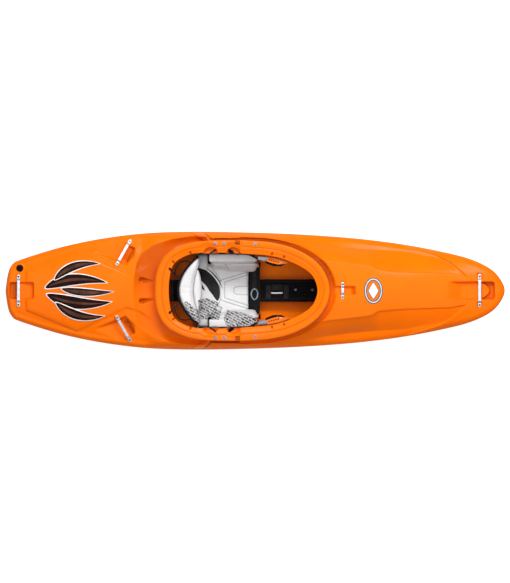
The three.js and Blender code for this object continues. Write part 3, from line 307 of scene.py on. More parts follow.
def normalsOf(mesh):
    return valuesOf(mesh.vertices, "normal").astype(float)


def setCoordinates(mesh, points):
    mesh.vertices.foreach_set("co", (points * mm).astype(np.float32).ravel())
    mesh.update()


def cornersOf(node):  # a CAD node's corners, in millimetres
    return coordinatesOf(frame["nodes"][node].data)


def smooth(mesh):
    mesh.polygons.foreach_set("use_smooth", np.ones(len(mesh.polygons), bool))


def gridFaces(rows, columns, closedRows=False, closedColumns=False):
    # four-cornered faces over a grid of points
    down, across = rows if closedRows else rows - 1, columns if closedColumns else columns - 1
    i, j = np.meshgrid(np.arange(down), np.arange(across), indexing="ij")
    a, b = i * columns + j, i * columns + (j + 1) % columns
    c, d = ((i + 1) % rows) * columns + (j + 1) % columns, ((i + 1) % rows) * columns + j
    return np.stack([a, b, c, d], -1).reshape(-1, 4)


def addPiece(name, points, faces, material, body, stands=()):
    # points in millimetres, faces as a list of index arrays
    mesh = bpy.data.meshes.new(name)
    points = np.asarray(points, np.float64).reshape(-1, 3) * mm
    faces = [np.asarray(f) for f in (faces if isinstance(faces, list) else [faces]) if len(f)]
    corners = np.concatenate([f.ravel() for f in faces])
    sizes = np.concatenate([np.full(len(f), f.shape[1]) for f in faces])
    mesh.vertices.add(len(points))
    mesh.vertices.foreach_set("co", points.ravel())
    mesh.loops.add(len(corners))
    mesh.loops.foreach_set("vertex_index", corners.astype(np.int32))
    mesh.polygons.add(len(sizes))
    mesh.polygons.foreach_set("loop_start", np.concatenate([[0], np.cumsum(sizes)[:-1]]).astype(np.int32))
    mesh.update(calc_edges=True)
    mesh.validate()
    smooth(mesh)
    piece = bpy.data.objects.new(name, mesh)
    scene.collection.objects.link(piece)
    mesh.materials.append(material)
    if body:
        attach(piece, body)
    if stands:
        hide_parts(*stands)
    return piece


def outwards(piece, merge=0.02):  # joins doubled corners of a closed piece and turns its faces outwards
    shape = bmesh.new()
    shape.from_mesh(piece.data)
    bmesh.ops.remove_doubles(shape, verts=shape.verts, dist=merge * mm)
    bmesh.ops.dissolve_degenerate(shape, edges=shape.edges, dist=merge * mm / 4)
    bmesh.ops.recalc_face_normals(shape, faces=shape.faces)
    shape.to_mesh(piece.data)
    shape.free()
    return piece


def bevelled(piece, width, angle=35, segments=3):
    bevel = piece.modifiers.new("edges", "BEVEL")
    bevel.width, bevel.segments = width * mm, segments
    bevel.limit_method, bevel.angle_limit = "ANGLE", np.radians(angle)
    bevel.harden_normals = False
    return piece


# The shape of the boat, from the same tables as its solid.
outlineShares = [
    (1, 0), (0.9936, 0.112), (0.9695, 0.269), (0.9454, 0.3615), (0.9053, 0.459), (0.845, 0.558),
    (0.7246, 0.68), (0.604, 0.775), (0.4837, 0.846), (0.3633, 0.899), (0.1826, 0.952), (0.002, 0.9825),
    (-0.239, 1), (-0.4195, 0.978), (-0.54, 0.9265), (-0.6604, 0.8465), (-0.7808, 0.733), (-0.9013, 0.58),
    (-0.9494, 0.5086), (-0.9654, 0.4785), (-0.9815, 0.393), (-0.9896, 0.3015), (-0.9976, 0.1066), (-1, 0),
]
hullTables = {
    "keel": [(-1, 0.36), (-0.8, 0.17), (-0.65, 0.08), (-0.48, 0.015), (-0.34, 0), (0.2, 0), (0.35, 0.02),
             (0.5, 0.075), (0.65, 0.19), (0.8, 0.36), (0.9, 0.5), (1, 0.66)],
    "sheer": [(-1, 0.462), (-0.8, 0.43), (-0.51, 0.438), (-0.22, 0.462), (0, 0.48), (0.22, 0.512),
              (0.44, 0.57), (0.66, 0.655), (0.84, 0.73), (1, 0.812)],
    "ridge": [(-1, 0.555), (-0.88, 0.59), (-0.73, 0.615), (-0.51, 0.655), (-0.4, 0.67), (-0.22, 0.725),
              (0, 0.795), (0.3, 0.89), (0.44, 0.92), (0.58, 0.92), (0.73, 0.9), (0.88, 0.875), (1, 0.85)],
    "innerHeight": [(-1, 0.54), (-0.8, 0.58), (-0.58, 0.615), (-0.4, 0.64), (-0.15, 0.67), (0.12, 0.75),
                    (0.28, 0.838), (0.47, 0.88), (0.66, 0.88), (0.77, 0.868), (0.84, 0.855), (1, 0.838)],
    "outerHeight": [(-1, 0.512), (-0.8, 0.512), (-0.58, 0.538), (-0.4, 0.562), (-0.15, 0.58), (0.12, 0.6),
                    (0.26, 0.62), (0.43, 0.655), (0.6, 0.7), (0.73, 0.75), (0.84, 0.8), (1, 0.825)],
    "innerWidth": [(-1, 0.185), (-0.8, 0.34), (-0.58, 0.46), (-0.4, 0.554), (-0.15, 0.615), (0.12, 0.63),
                   (0.28, 0.514), (0.455, 0.425), (0.468, 0.414), (0.497, 0.347), (0.51, 0.338),
                   (0.66, 0.298), (0.77, 0.283), (0.84, 0.24), (1, 0.06)],
    "outerWidth": [(-1, 0.34), (-0.8, 0.585), (-0.58, 0.77), (-0.4, 0.86), (-0.15, 0.923), (0.12, 0.877),
                   (0.26, 0.785), (0.43, 0.695), (0.6, 0.652), (0.66, 0.603), (0.73, 0.55), (0.8, 0.46),
                   (0.91, 0.323), (1, 0.123)],
    "flareWidth": [(-1, 0.37), (0, 0.37), (0.65, 0.46), (1, 0.52)],
    "flare": [(0, 1), (0.06, 0.75), (0.25, 0.48), (0.6, 0.17), (0.85, 0.03), (1, 0)],
}


def tableAt(name, place):  # monotone cubic through a table's points, with harmonic mean slopes
    at, value = np.array(hullTables[name], float).T
    slope = np.diff(value) / np.diff(at)
    product = slope[:-1] * slope[1:]
    inner = np.where(product > 0, 2 * product / np.where(product > 0, slope[:-1] + slope[1:], 1), 0)
    tangent = np.concatenate([[slope[0]], inner, [slope[-1]]])
    k = np.clip(np.searchsorted(at, place, side="right") - 1, 0, len(at) - 2)
    width = at[k + 1] - at[k]
    t = np.clip((place - at[k]) / width, 0, 1)
    between = value[k] + (value[k + 1] - value[k]) * t * t * (3 - 2 * t)
    return between + width * t * (1 - t) * (tangent[k] * (1 - t) - tangent[k + 1] * t)


def closedSpline(points, steps):  # closed centripetal spline through points, steps for each span
    p = np.asarray(points, float)
    count = len(p)
    at = np.arange(count * steps) / steps
    k, t = at.astype(int), (at % 1)[:, None]
    p0, p1, p2, p3 = (p[(k + s) % count] for s in (-1, 0, 1, 2))
    d0, d1, d2 = (np.maximum(np.linalg.norm(b - a, axis=1) ** 0.5, 1e-6)[:, None]
                  for a, b in ((p0, p1), (p1, p2), (p2, p3)))
    m1 = ((p1 - p0) / d0 - (p2 - p0) / (d0 + d1) + (p2 - p1) / d1) * d1
    m2 = ((p2 - p1) / d1 - (p3 - p1) / (d1 + d2) + (p3 - p2) / d2) * d1
    return p1 + m1 * t + (3 * (p2 - p1) - 2 * m1 - m2) * t ** 2 + (2 * (p1 - p2) + m1 + m2) * t ** 3


def mirrored(shares, length, width, centre=0.0):  # both sides of a contour given by one side's shares
    half = [(centre + a * length / 2, b * width / 2) for a, b in shares]
    return half + [(x, -y) for x, y in half[1:-1][::-1]]


outline = closedSpline(mirrored(outlineShares, 2 * halfLength, 2 * halfBeam), 16)
outlineHalf = outline[: 16 * (len(outlineShares) - 1) + 1]


def halfBreadth(x):
    return np.interp(x, outlineHalf[::-1, 0], outlineHalf[::-1, 1])


def lineDistance(x, y, line, closed=True):  # distance of places to a line of points, in blocks to save memory
    a = np.asarray(line, float)
    b = np.roll(a, -1, 0) if closed else a[1:]
    a = a if closed else a[:-1]
    span = b - a
    square = np.maximum((span ** 2).sum(1), 1e-12)
    flat = np.stack([np.ravel(x), np.ravel(y)], -1)
    far = np.empty(len(flat))
    for start in range(0, len(flat), 4000):
        part = flat[start:start + 4000, None, :]
        t = np.clip(((part - a) * span).sum(-1) / square, 0, 1)
        far[start:start + 4000] = np.sqrt((((part - a) - t[..., None] * span) ** 2).sum(-1).min(1))
    return far.reshape(np.shape(x))


def isInside(x, y, polygon):  # even-odd rule
    a = np.asarray(polygon, float)
    b = np.roll(a, -1, 0)
    flatX, flatY = np.ravel(x)[:, None], np.ravel(y)[:, None]
    crosses = (a[:, 1] > flatY) != (b[:, 1] > flatY)
    rise = np.where(b[:, 1] == a[:, 1], 1e-9, b[:, 1] - a[:, 1])
    right = flatX < (b[:, 0] - a[:, 0]) * (flatY - a[:, 1]) / rise + a[:, 0]
    return ((crosses & right).sum(1) % 2 == 1).reshape(np.shape(x))


def depthInside(x, y, polygon):  # distance to a polygon's edge, negative outside it
    return np.where(isInside(x, y, polygon), 1, -1) * lineDistance(x, y, polygon)


def ease(value):  # smooth step from 0 to 1
    t = np.clip(value, 0, 1)
    return t * t * (3 - 2 * t)


def boxDepth(x, y, x0, x1, halfWidth, corner):  # distance inside a rounded rectangle about the middle plane
    qx = np.abs(x - (x0 + x1) / 2) - (x1 - x0) / 2 + corner
    qy = np.abs(y) - halfWidth + corner
    return corner - np.hypot(np.maximum(qx, 0), np.maximum(qy, 0)) - np.minimum(np.maximum(qx, qy), 0)


# Cockpit rim: its plane, its two contours and the scallops of the opening.
rimShares = [
    (1, 0), (0.982, 0.2), (0.946, 0.345), (0.898, 0.476), (0.81, 0.625), (0.705, 0.745), (0.55, 0.866),
    (0.32, 0.96), (0.088, 0.993), (-0.153, 1), (-0.454, 0.982), (-0.619, 0.935), (-0.738, 0.855),
    (-0.841, 0.753), (-0.92, 0.6), (-0.98, 0.36), (-1, 0),
]
openingShares = [
    (1, 0), (0.985, 0.17), (0.946, 0.351), (0.882, 0.493), (0.774, 0.639), (0.636, 0.766), (0.484, 0.873),
    (0.312, 0.937), (0.093, 0.971), (-0.15, 1), (-0.533, 1.01), (-0.708, 0.966), (-0.828, 0.868),
    (-0.919, 0.732), (-0.963, 0.561), (-0.992, 0.293), (-1, 0),
]
rim = {
    "length": 956, "width": 550, "centre": -67, "rearHeight": 300, "frontHeight": 385,
    "openingLength": 814, "openingWidth": 410, "openingCentre": -63, "steps": 1100, "wallOut": 20,
    "wallIn": 28, "edgeDepth": 35, "shelfDrop": 10, "scallops": [(-280, -200), (-154, -78)],
    "scallopReach": 237, "slots": [(95, 200, 78), (161, 184, 70), (-351, 206, 108), (-445, 157, 130)],
    "slotSize": (17, 5.0), "slotDepth": 7,
    "pocket": (-107, -80, 250), "pocketDepth": 5,  # rear, front and inner limits
    "section": {"lip": [(20, -8), (3, -8), (0.9, -7.2), (0, -5), (0, -3), (0.9, -0.8)], "topSteps": 24,
                "bead": 3.0, "beadShare": 0.42, "crease": 3.4, "creaseShare": 0.045},
}


def spaced(line, count):  # points at equal steps of length round a closed line
    closed = np.vstack([line, line[:1]])
    run = np.concatenate([[0], np.cumsum(np.linalg.norm(np.diff(closed, axis=0), axis=1))])
    at = np.arange(count) / count * run[-1]
    return np.stack([np.interp(at, run, closed[:, k]) for k in (0, 1)], -1)


def rimHeight(x):
    slope = (rim["frontHeight"] - rim["rearHeight"]) / rim["length"]
    return rim["rearHeight"] + (x - rim["centre"] + rim["length"] / 2) * slope


def contourOf(shares, length, width, centre):
    return spaced(closedSpline(mirrored(shares, length, width, centre), 40), rim["steps"])


lip = contourOf(rimShares, rim["length"], rim["width"], rim["centre"])
opening = contourOf(openingShares, rim["openingLength"], rim["openingWidth"], rim["openingCentre"])
for start, end in rim["scallops"]:  # pushes the opening's edge outwards along a flat arch
    share = np.clip((opening[:, 0] - start) / (end - start), 0, 1)
    reach = (rim["scallopReach"] - rim["openingWidth"] / 2) * np.sin(np.pi * share) ** 0.5
    wide = np.abs(opening[:, 1])
    pushed = np.where(reach > 0.01, np.maximum(rim["openingWidth"] / 2 + reach, wide), wide)
    opening[:, 1] = np.sign(opening[:, 1]) * pushed
lipCoarse = lip[::5]

# The deck: a height for every place, with what is moulded into it.
# Lists of pairs are (place, value) along the boat or (breadth, place) across it.
deck = {
    "stations": 640, "columns": 171, "edgePower": 1.25, "gunwaleRadius": 30, "gunwaleLift": 16,
    "underRim": 24.5, "plug": (-1290, 123, 20), "plugBorder": 6, "plugFade": 8, "flareRise": 16,
    "flareStart": 4, "flareLength": 18, "flareGap": 40, "flareFade": 30,
}
facets = {
    "depth": 7, "bend": 0.7, "curveShare": 0.3, "innerFade": 3.5, "outerFade": 5, "startFade": 12,
    "starts": [(150, 420), (163, 392), (190, 338), (234, 262), (273, 172)],
}
nose = {
    "edge": [(80, 1156), (106, 1132), (146, 1086), (192, 1004), (229, 883), (262, 770)],
    "fade": 14, "power": 2.3, "share": 0.85,
}
sternDeck = {
    "top": [(-1249, 104), (-976, 217), (-704, 88), (-640, 104), (-560, 160),
            (-560, -160), (-640, -104), (-704, -88), (-976, -217), (-1249, -104)],
    "power": 2.2, "drop": 7, "slope": 11, "edgeGap": 12, "edgeFade": 30, "lift": 1.5, "liftFade": 14,
    "join": -620, "joinLength": 90,
}
scoop = {
    "outline": [(-668, 0), (-665, 80), (-652, 152), (-624, 207), (-564, 251), (-465, 284), (-344, 303),
                (-262, 300), (-245, 262), (-300, 200)],
    "depth": 34, "slopes": [(-560, 120), (-420, 44)], "edgeGap": 6, "edgeFade": 20,
    "shade": 0.16, "portShade": 0.5, "shadeFade": 7, "lipFade": 10,
}
ring = {
    "widths": [(-85, 20), (150, 24), (300, 30), (411, 36)], "depth": 19, "wall": 9, "start": -85,
    "startFade": 6, "shade": 0.35, "portShade": 0.65, "shadeReach": 3, "shadeFade": 14,
}
notch = {"reach": 15, "wall": 5, "rear": -252, "rearFade": 8, "front": -78, "frontFade": 5, "depth": 16}
rib = {
    "breadths": (266, 318), "rears": (-270, -347), "fronts": (-226, -285), "height": 13, "wall": 5,
    "edgeGap": 3, "edgeFade": 14, "shade": 0.8, "shadeLength": 20, "shadeFrom": 258, "frontFade": 4,
    "shadeFade": 6, "lipFade": 4,
}
teardrop = {
    "places": [(-618, -548, 58, 48), (-618, -548, -58, -48)], "sizes": [(0, 17), (0.35, 12), (1, 6)],
    "depths": [(0, 24), (0.4, 14), (1, 2)], "shades": [(0, 1), (0.4, 0.7), (1, 0.3)], "wall": 6,
    "shadeFade": 4,
}
sideRecess = {
    "outline": [(-912, 221), (-706, 139), (-656, 233), (-736, 285), (-868, 252)], "floor": 200.0, "rise": 13,
    "riseFrom": -765, "riseLength": 140, "overlap": 2, "wall": 13,
    "pocket": [(-728, 172), (-688, 247), (-654, 238), (-659, 186), (-696, 150)], "pocketDepth": 7,
    "pocketWall": 8, "shade": 0.55, "shadeFade": 5,
}
bowRecess = {
    "rear": 1050, "front": 1317, "halfWidth": 51, "corner": 17, "floor": 322.6, "pocketFloor": 306.6,
    "wall": 9, "ramp": 92, "tongue": 1284, "tongueDepth": 28, "tongueHalf": 35, "tongueEnd": 45,
    "shade": 0.6, "shadeFade": 5,
}
sternRecess = {
    "rear": -1349, "step": -1306, "front": -1211, "halfWidth": 48, "corner": 12, "floor": 205.6,
    "pocketFloor": 195.6, "wall": 8, "shade": 0.6, "shadeEdge": 4, "shadeFade": 5,
}
channel = {
    "rear": 380, "front": 557, "halfWidth": 25, "corner": 6, "floor": 343.5, "wall": 6, "ramp": 28,
    "shade": 0.5, "shadeEdge": 4, "shadeFrom": 525, "shadeFade": 8,
}
handles = {
    "stern_grab": {"centre": (-1297, 0), "heading": 90, "length": 176, "width": 18},
    "stern_port": {"centre": (-720, 209), "heading": 61, "length": 162, "width": 16},
    "stern_starboard": {"centre": (-720, -209), "heading": -61, "length": 162, "width": 16},
    "front_deck": {"centre": (482, 0), "heading": 90, "length": 92, "width": 16},
    "bow_grab": {"centre": (1232, 0), "heading": 90, "length": 180, "width": 18},
}
handleSeat = {"footLength": 22, "border": 3, "overlap": 4, "gap": 0.2, "fade": 6, "endReach": 4}
footLength = handleSeat["footLength"]


def measureHandle(name, handle):  # the plane under a handle's feet, read from its solid
    corners = cornersOf(name + "_handle")
    heading = np.radians(handle["heading"])
    handle["along"] = np.array([np.cos(heading), np.sin(heading)])
    run = (corners[:, :2] - handle["centre"]) @ handle["along"]
    reach = handle["length"] / 2 - handleSeat["endReach"]
    ends = [run < -reach, run > reach]
    low = [corners[near, 2].min() for near in ends]
    middles = [run[near][corners[near, 2].argmin()] for near in ends]
    handle["slope"] = (low[1] - low[0]) / (middles[1] - middles[0])
    handle["level"] = low[0] - handle["slope"] * middles[0]


for name, handle in handles.items():
    measureHandle(name, handle)
plugLevel = cornersOf("drain_plug")[:, 2].min() + 16


def fromLipOf(x, y):  # how far a place lies outside the rim's outer contour
    return -depthInside(x, y, lipCoarse)


def pairsAt(value, pairs):  # a value read between pairs of (place, value)
    return np.interp(value, *zip(*pairs))


def plainDeck(x, y, edge):  # the deck before anything is moulded into it, from the boat's tables
    a = np.abs(y)
    place = x / halfLength
    sheer, ridge, innerHigh, outerHigh = (
        tableAt(name, place) * profileHeight for name in ("sheer", "ridge", "innerHeight", "outerHeight"))
    inner, outer = (tableAt(name, place) * halfBeam for name in ("innerWidth", "outerWidth"))
    shoulder = sheer + deck["gunwaleLift"]
    wide = np.maximum(halfBreadth(x), outer + deck["gunwaleRadius"])
    # ahead of the cockpit: crowned top, hollow side facets, then the gunwale band
    across = np.clip((a - inner) / (outer - inner), 0, 1)
    top = ridge - (ridge - innerHigh) * np.clip(a / inner, 0, 1) ** 2
    curve = facets["curveShare"]
    facet = outerHigh + (innerHigh - outerHigh) * ((1 - curve) * (1 - across) + curve * (1 - across ** 2))
    band = outerHigh + (shoulder - outerHigh) * np.clip((a - outer) / (wide - outer), 0, 1)
    front = np.where(a < inner, top, np.where(a < outer, facet, band))
    onNose = ease((x - pairsAt(a, nose["edge"])) / nose["fade"] + 0.5)
    started = ease((x - pairsAt(a, facets["starts"])) / facets["startFade"] + 0.5)
    stepped = np.clip((outer - a) / (outer - inner), 0, 1) ** facets["bend"]
    inFacet = ease((a - inner) / facets["innerFade"]) * ease((outer - a) / facets["outerFade"])
    front = front - facets["depth"] * stepped * (1 - onNose) * started * inFacet
    smoothNose = ridge - (ridge - shoulder) * np.clip(a / wide, 0, 1) ** nose["power"]
    front = front + (smoothNose - front) * onNose * nose["share"]
    # behind the cockpit: one crown across the deck, with a raised six-cornered top
    rear = ridge - (ridge - shoulder) * np.clip(a / wide, 0, 1) ** sternDeck["power"]
    onTop = depthInside(x, y, sternDeck["top"])
    offEdge = ease((edge - sternDeck["edgeGap"]) / sternDeck["edgeFade"])
    rear = rear - sternDeck["drop"] * ease(-onTop / sternDeck["slope"]) * offEdge
    rear = rear + sternDeck["lift"] * ease(onTop / sternDeck["liftFade"])
    return rear + (front - rear) * ease((x - sternDeck["join"]) / sternDeck["joinLength"])


# Each moulding takes the places, the height so far, and the distances to the gunwale and outside the rim.
# It gives back the new height and the painted shade in its hollow at each place, from 0 to 1.
def portShare(y):  # the walls on the port side face away from the light and are drawn darker
    return ease((y + 60) / 160)


def scoopHollow(x, y, z, edge, fromLip):  # round the cockpit's rear: depth times 1 - (1 - share) squared
    half = scoop["outline"]
    inside = depthInside(x, y, half + [(px, -py) for px, py in half[:0:-1]])
    share = np.clip(inside / pairsAt(x, scoop["slopes"]), 0, 1)
    offEdge = ease((edge - scoop["edgeGap"]) / scoop["edgeFade"])
    shade = (scoop["shade"] + scoop["portShade"] * portShare(y)) * ease(inside / scoop["shadeFade"]) * offEdge
    drop = scoop["depth"] * (1 - (1 - share) ** 2) * offEdge
    return z - drop, shade * ease((fromLip + 2) / scoop["lipFade"])


def ringHollow(x, y, z, edge, fromLip):  # a level drop as wide as a band round the rim's front
    width = pairsAt(x, ring["widths"])
    started = ease((x - ring["start"]) / ring["startFade"])
    shade = ease((width + ring["shadeReach"] - fromLip) / ring["shadeFade"]) * started
    drop = ring["depth"] * ease((width - fromLip) / ring["wall"]) * started
    return z - drop, (ring["shade"] + ring["portShade"] * portShare(y)) * shade


def notchShare(x, fromLip):
    ends = ease((x - notch["rear"]) / notch["rearFade"]) * ease((notch["front"] - x) / notch["frontFade"])
    return ease((notch["reach"] - fromLip) / notch["wall"]) * ends


def notchHollow(x, y, z, edge, fromLip):  # a narrow drop beside the rim's middle
    share = notchShare(x, fromLip)
    return z - notch["depth"] * share, share


def ribRise(x, y, z, edge, fromLip):
    # a slanting rib on each side, from the rim out to the gunwale, with painted shade before its front
    a = np.abs(y)
    rear, front = np.interp(a, rib["breadths"], rib["rears"]), np.interp(a, rib["breadths"], rib["fronts"])
    offEdge = ease((edge - rib["edgeGap"]) / rib["edgeFade"])
    share = ease((x - rear) / rib["wall"]) * ease((front - x) / rib["wall"]) * offEdge
    before = ease((x - front) / rib["frontFade"]) * ease((front + rib["shadeLength"] - x) / rib["shadeFade"])
    shade = rib["shade"] * before * ease((a - rib["shadeFrom"]) / rib["wall"]) * offEdge
    return (z + rib["height"] * share * ease(1 - notchShare(x, fromLip)),
            shade * ease((fromLip + 1) / rib["lipFade"]))


def teardropHollows(x, y, z, edge, fromLip):  # round at the rear end, narrower and shallower to the front
    shade = np.zeros_like(z)
    for start, end, y0, y1 in teardrop["places"]:
        run = np.clip((x - start) / (end - start), -1, 1)
        middle = y0 + (y1 - y0) * np.clip(run, 0, 1)
        size = pairsAt(run, teardrop["sizes"])
        away = np.hypot(np.where(x < start, x - start, 0), y - middle)
        z = z - pairsAt(run, teardrop["depths"]) * ease((size - away) / teardrop["wall"]) * (x < end)
        here = pairsAt(run, teardrop["shades"]) * ease((size - away) / teardrop["shadeFade"]) * (x < end)
        shade = np.maximum(shade, here)
    return z, shade


def sideHollows(x, y, z, edge, fromLip):  # under the two slanting handles: a floor, and a finger pocket in it
    a = np.abs(y)
    inside = depthInside(x, a, sideRecess["outline"]) + sideRecess["overlap"]
    rise = np.clip((sideRecess["riseFrom"] - x) / sideRecess["riseLength"], 0, 1)
    level = sideRecess["floor"] + sideRecess["rise"] * rise
    z = np.where(inside > 0, np.minimum(z, z + (level - z) * ease(inside / sideRecess["wall"])), z)
    pocket = depthInside(x, a, sideRecess["pocket"])
    drop = sideRecess["pocketDepth"] * ease(pocket / sideRecess["pocketWall"])
    return z - drop, sideRecess["shade"] * ease(pocket / sideRecess["shadeFade"])


def loweredTo(z, level, inside, share):
    return np.where(inside > 0, z + (np.minimum(level, z) - z) * share, z)


def bowHollow(x, y, z, edge, fromLip):
    # under the bow handle: a ramped floor and a deeper pocket behind a tongue
    size = bowRecess
    inside = boxDepth(x, y, size["rear"], size["front"], size["halfWidth"], size["corner"])
    share = ease(inside / size["wall"]) * ease((x - size["rear"]) / size["ramp"])
    bend = np.clip(np.abs(y), 0, size["tongueEnd"]) / size["tongueHalf"]
    tongue = size["tongue"] - size["tongueDepth"] * bend ** 2
    level = size["floor"] + (size["pocketFloor"] - size["floor"]) * ease((x - tongue) / size["wall"])
    shade = size["shade"] * share * ease((x - tongue) / size["shadeFade"])
    return loweredTo(z, level, inside, share), shade


def sternHollow(x, y, z, edge, fromLip):  # under the stern handle: a floor and a step down to its pocket
    size = sternRecess
    inside = boxDepth(x, y, size["rear"], size["front"], size["halfWidth"], size["corner"])
    level = size["floor"] + (size["pocketFloor"] - size["floor"]) * ease((size["step"] - x) / size["wall"])
    shade = size["shade"] * ease(inside / size["shadeEdge"]) * ease((size["step"] - x) / size["shadeFade"])
    return loweredTo(z, level, inside, ease(inside / size["wall"])), shade


def channelHollow(x, y, z, edge, fromLip):
    # under the front deck handle: a level floor, ramped up at its front
    size = channel
    inside = boxDepth(x, y, size["rear"], size["front"], size["halfWidth"], size["corner"])
    share = ease(inside / size["wall"]) * ease((size["front"] - x) / size["ramp"])
    shade = size["shade"] * ease(inside / size["shadeEdge"])
    shade = shade * ease((x - size["shadeFrom"]) / size["shadeFade"])
    return loweredTo(z, size["floor"], inside, share), shade


mouldings = [scoopHollow, ringHollow, notchHollow, ribRise, teardropHollows, sideHollows, bowHollow,
             sternHollow, channelHollow]


def handleSeats(x, y, z):  # flat seats under the handles' feet, and one round the plug
    for handle in handles.values():
        awayX, awayY = x - handle["centre"][0], y - handle["centre"][1]
        run = awayX * handle["along"][0] + awayY * handle["along"][1]
        wayOff = np.abs(awayY * handle["along"][0] - awayX * handle["along"][1])
        reach = handle["length"] / 2 + handleSeat["border"] - np.abs(run)
        inner = np.abs(run) - handle["length"] / 2 + footLength + handleSeat["border"]
        inset = np.minimum(np.minimum(reach, inner), handle["width"] / 2 + handleSeat["border"] - wayOff)
        level = handle["level"] + handle["slope"] * run - handleSeat["gap"]
        z = z + (level - z) * ease((inset + handleSeat["overlap"]) / handleSeat["fade"])
    px, py, radius = deck["plug"]
    share = ease((radius + deck["plugBorder"] - np.hypot(x - px, y - py)) / deck["plugFade"])
    return z + (plugLevel - handleSeat["gap"] - z) * share


def deckHeight(x, y):
    # height, distance outside the rim, and the painted shade of the hollows at each place, from 0 to 1
    edge = lineDistance(x, np.abs(y), outlineHalf, closed=False)
    fromLip = fromLipOf(x, y)
    z = plainDeck(x, y, edge)
    # painted shade: each moulding darkens its hollow, and the darkest share is kept
    paintedShade = np.zeros_like(z)
    for moulding in mouldings:
        z, shade = moulding(x, y, z, edge, fromLip)
        paintedShade = np.maximum(paintedShade, shade)
    z = handleSeats(x, y, z)
    # the foot of the rim's wall flares up, and the gunwale rounds down to the sheer along a quarter circle
    foot = ease((-fromLip - deck["flareStart"]) / deck["flareLength"]) ** 2
    z = z + deck["flareRise"] * foot * ease((rimHeight(x) - deck["flareGap"] - z) / deck["flareFade"])
    sheer = tableAt("sheer", x / halfLength) * profileHeight
    inward = np.clip(edge / deck["gunwaleRadius"], 0, 1)
    return sheer + (z - sheer) * np.sqrt(1 - (1 - inward) ** 2), fromLip, np.clip(paintedShade, 0, 1)


def bottomHeight(x, y):
    place = x / halfLength
    keel, sheer = tableAt("keel", place) * profileHeight, tableAt("sheer", place) * profileHeight
    flare = tableAt("flareWidth", place) * halfBeam
    edge = lineDistance(x, np.abs(y), outlineHalf, closed=False)
    return keel + (sheer - keel) * tableAt("flare", np.minimum(edge / flare, 1))


def stationsOf(count, end=halfLength):  # closer together at both ends
    return -end * np.cos(np.pi * (np.arange(count) + 0.35) / (count - 0.3))


def sheetOver(count, columns, power, inset=0.0):
    # places over the outline: rows at stations, columns as shares of the breadth
    x = stationsOf(count, halfLength - inset)
    v = np.linspace(-1, 1, columns)
    v = np.sign(v) * (1 - (1 - np.abs(v)) ** power)
    grid = np.meshgrid(x, v, indexing="ij")
    return grid[0], grid[1] * np.maximum(halfBreadth(grid[0]) - inset, 0.05)


def shadeBy(piece, values):  # keeps the painted shade of each point, darker in the hollows, for the hull's colour
    piece.data.attributes.new("paintedShade", "FLOAT", "POINT").data.foreach_set("value", values.astype(np.float32))


def sheetPiece(name, x, y, z, keep, material, stands=(), upwards=True, paintedShade=None):
    faces = gridFaces(*x.shape)
    faces = faces[keep.ravel()[faces].any(1)]
    used, index = np.unique(faces, return_inverse=True)
    faces = index.reshape(-1, 4)
    points = np.stack([x, y, z], -1).reshape(-1, 3)[used]
    piece = addPiece(name, points, faces[:, ::-1] if upwards else faces, material, "hull", stands)
    if paintedShade is not None:
        shadeBy(piece, paintedShade.ravel()[used])
    return piece


deckX, deckY = sheetOver(deck["stations"], deck["columns"], deck["edgePower"])
deckZ, lipAway, deckPaintedShade = deckHeight(deckX, deckY)
sheetPiece("hull_deck", deckX, deckY, deckZ, lipAway > -deck["underRim"], hullOrange, ["hull_shell"],
           paintedShade=deckPaintedShade)
print("deck", deckX.size, "points")

bottomX, bottomY = sheetOver(320, 121, 1.4)
everywhere = np.ones_like(bottomX, bool)
sheetPiece("hull_bottom", bottomX, bottomY, bottomHeight(bottomX, bottomY), everywhere, hullOrange,
           upwards=False)
print("bottom", bottomX.size, "points")

liningX, liningY = sheetOver(260, 91, 1.3, wallThickness)
liningDeck, liningAway, _ = deckHeight(liningX, liningY)
liningKeel = bottomHeight(liningX, liningY)
liningDeck = np.maximum(liningDeck - wallThickness, liningKeel + 1)
sheetPiece("hull_lining_top", liningX, liningY, liningDeck, liningAway > -27, brightenedHullInside, upwards=False)
liningBottom = np.minimum(liningKeel + wallThickness, liningDeck)
everywhere = np.ones_like(liningX, bool)
sheetPiece("hull_lining_floor", liningX, liningY, liningBottom, everywhere, brightenedHullInside)
print("lining", liningX.size, "points")


# The rim is a closed section carried round both contours: the lip and its bead, a crease halfway,
# the slope to the opening, the band at its edge, and the wall down to the deck.
def rimSection(width):  # pairs of (inwards from the lip, above the rim's plane), in order round the section
    one = np.ones_like(width)
    size = rim["section"]
    edge, depth, drop = width, rim["edgeDepth"], rim["shelfDrop"]
    start = [(inward * one, height * one) for inward, height in size["lip"]]
    top = []
    for share in np.linspace(0.04, 0.96, size["topSteps"]):
        bead = size["bead"] * np.sin(np.pi * np.clip(share / size["beadShare"], 0, 1)) ** 1.2
        crease = size["crease"] * np.exp(-((share - 0.5) / size["creaseShare"]) ** 2)
        top.append((width * share, (0.6 + bead - (drop - 1) * ease((share - 0.5) / 0.5) - crease) * one))
    band = [(edge - 1, -drop - 0.2), (edge, -drop - 2.2), (edge, -depth + 2), (edge - 1, -depth),
            (edge - 4.4, -depth), (edge - 5.6, -depth + 2), (edge - 6, -drop - 9), (edge / 2 + 4, -drop - 1),
            (rim["wallIn"] * one, -8)]
    return start + top + [(inward, height * one) for inward, height in band]


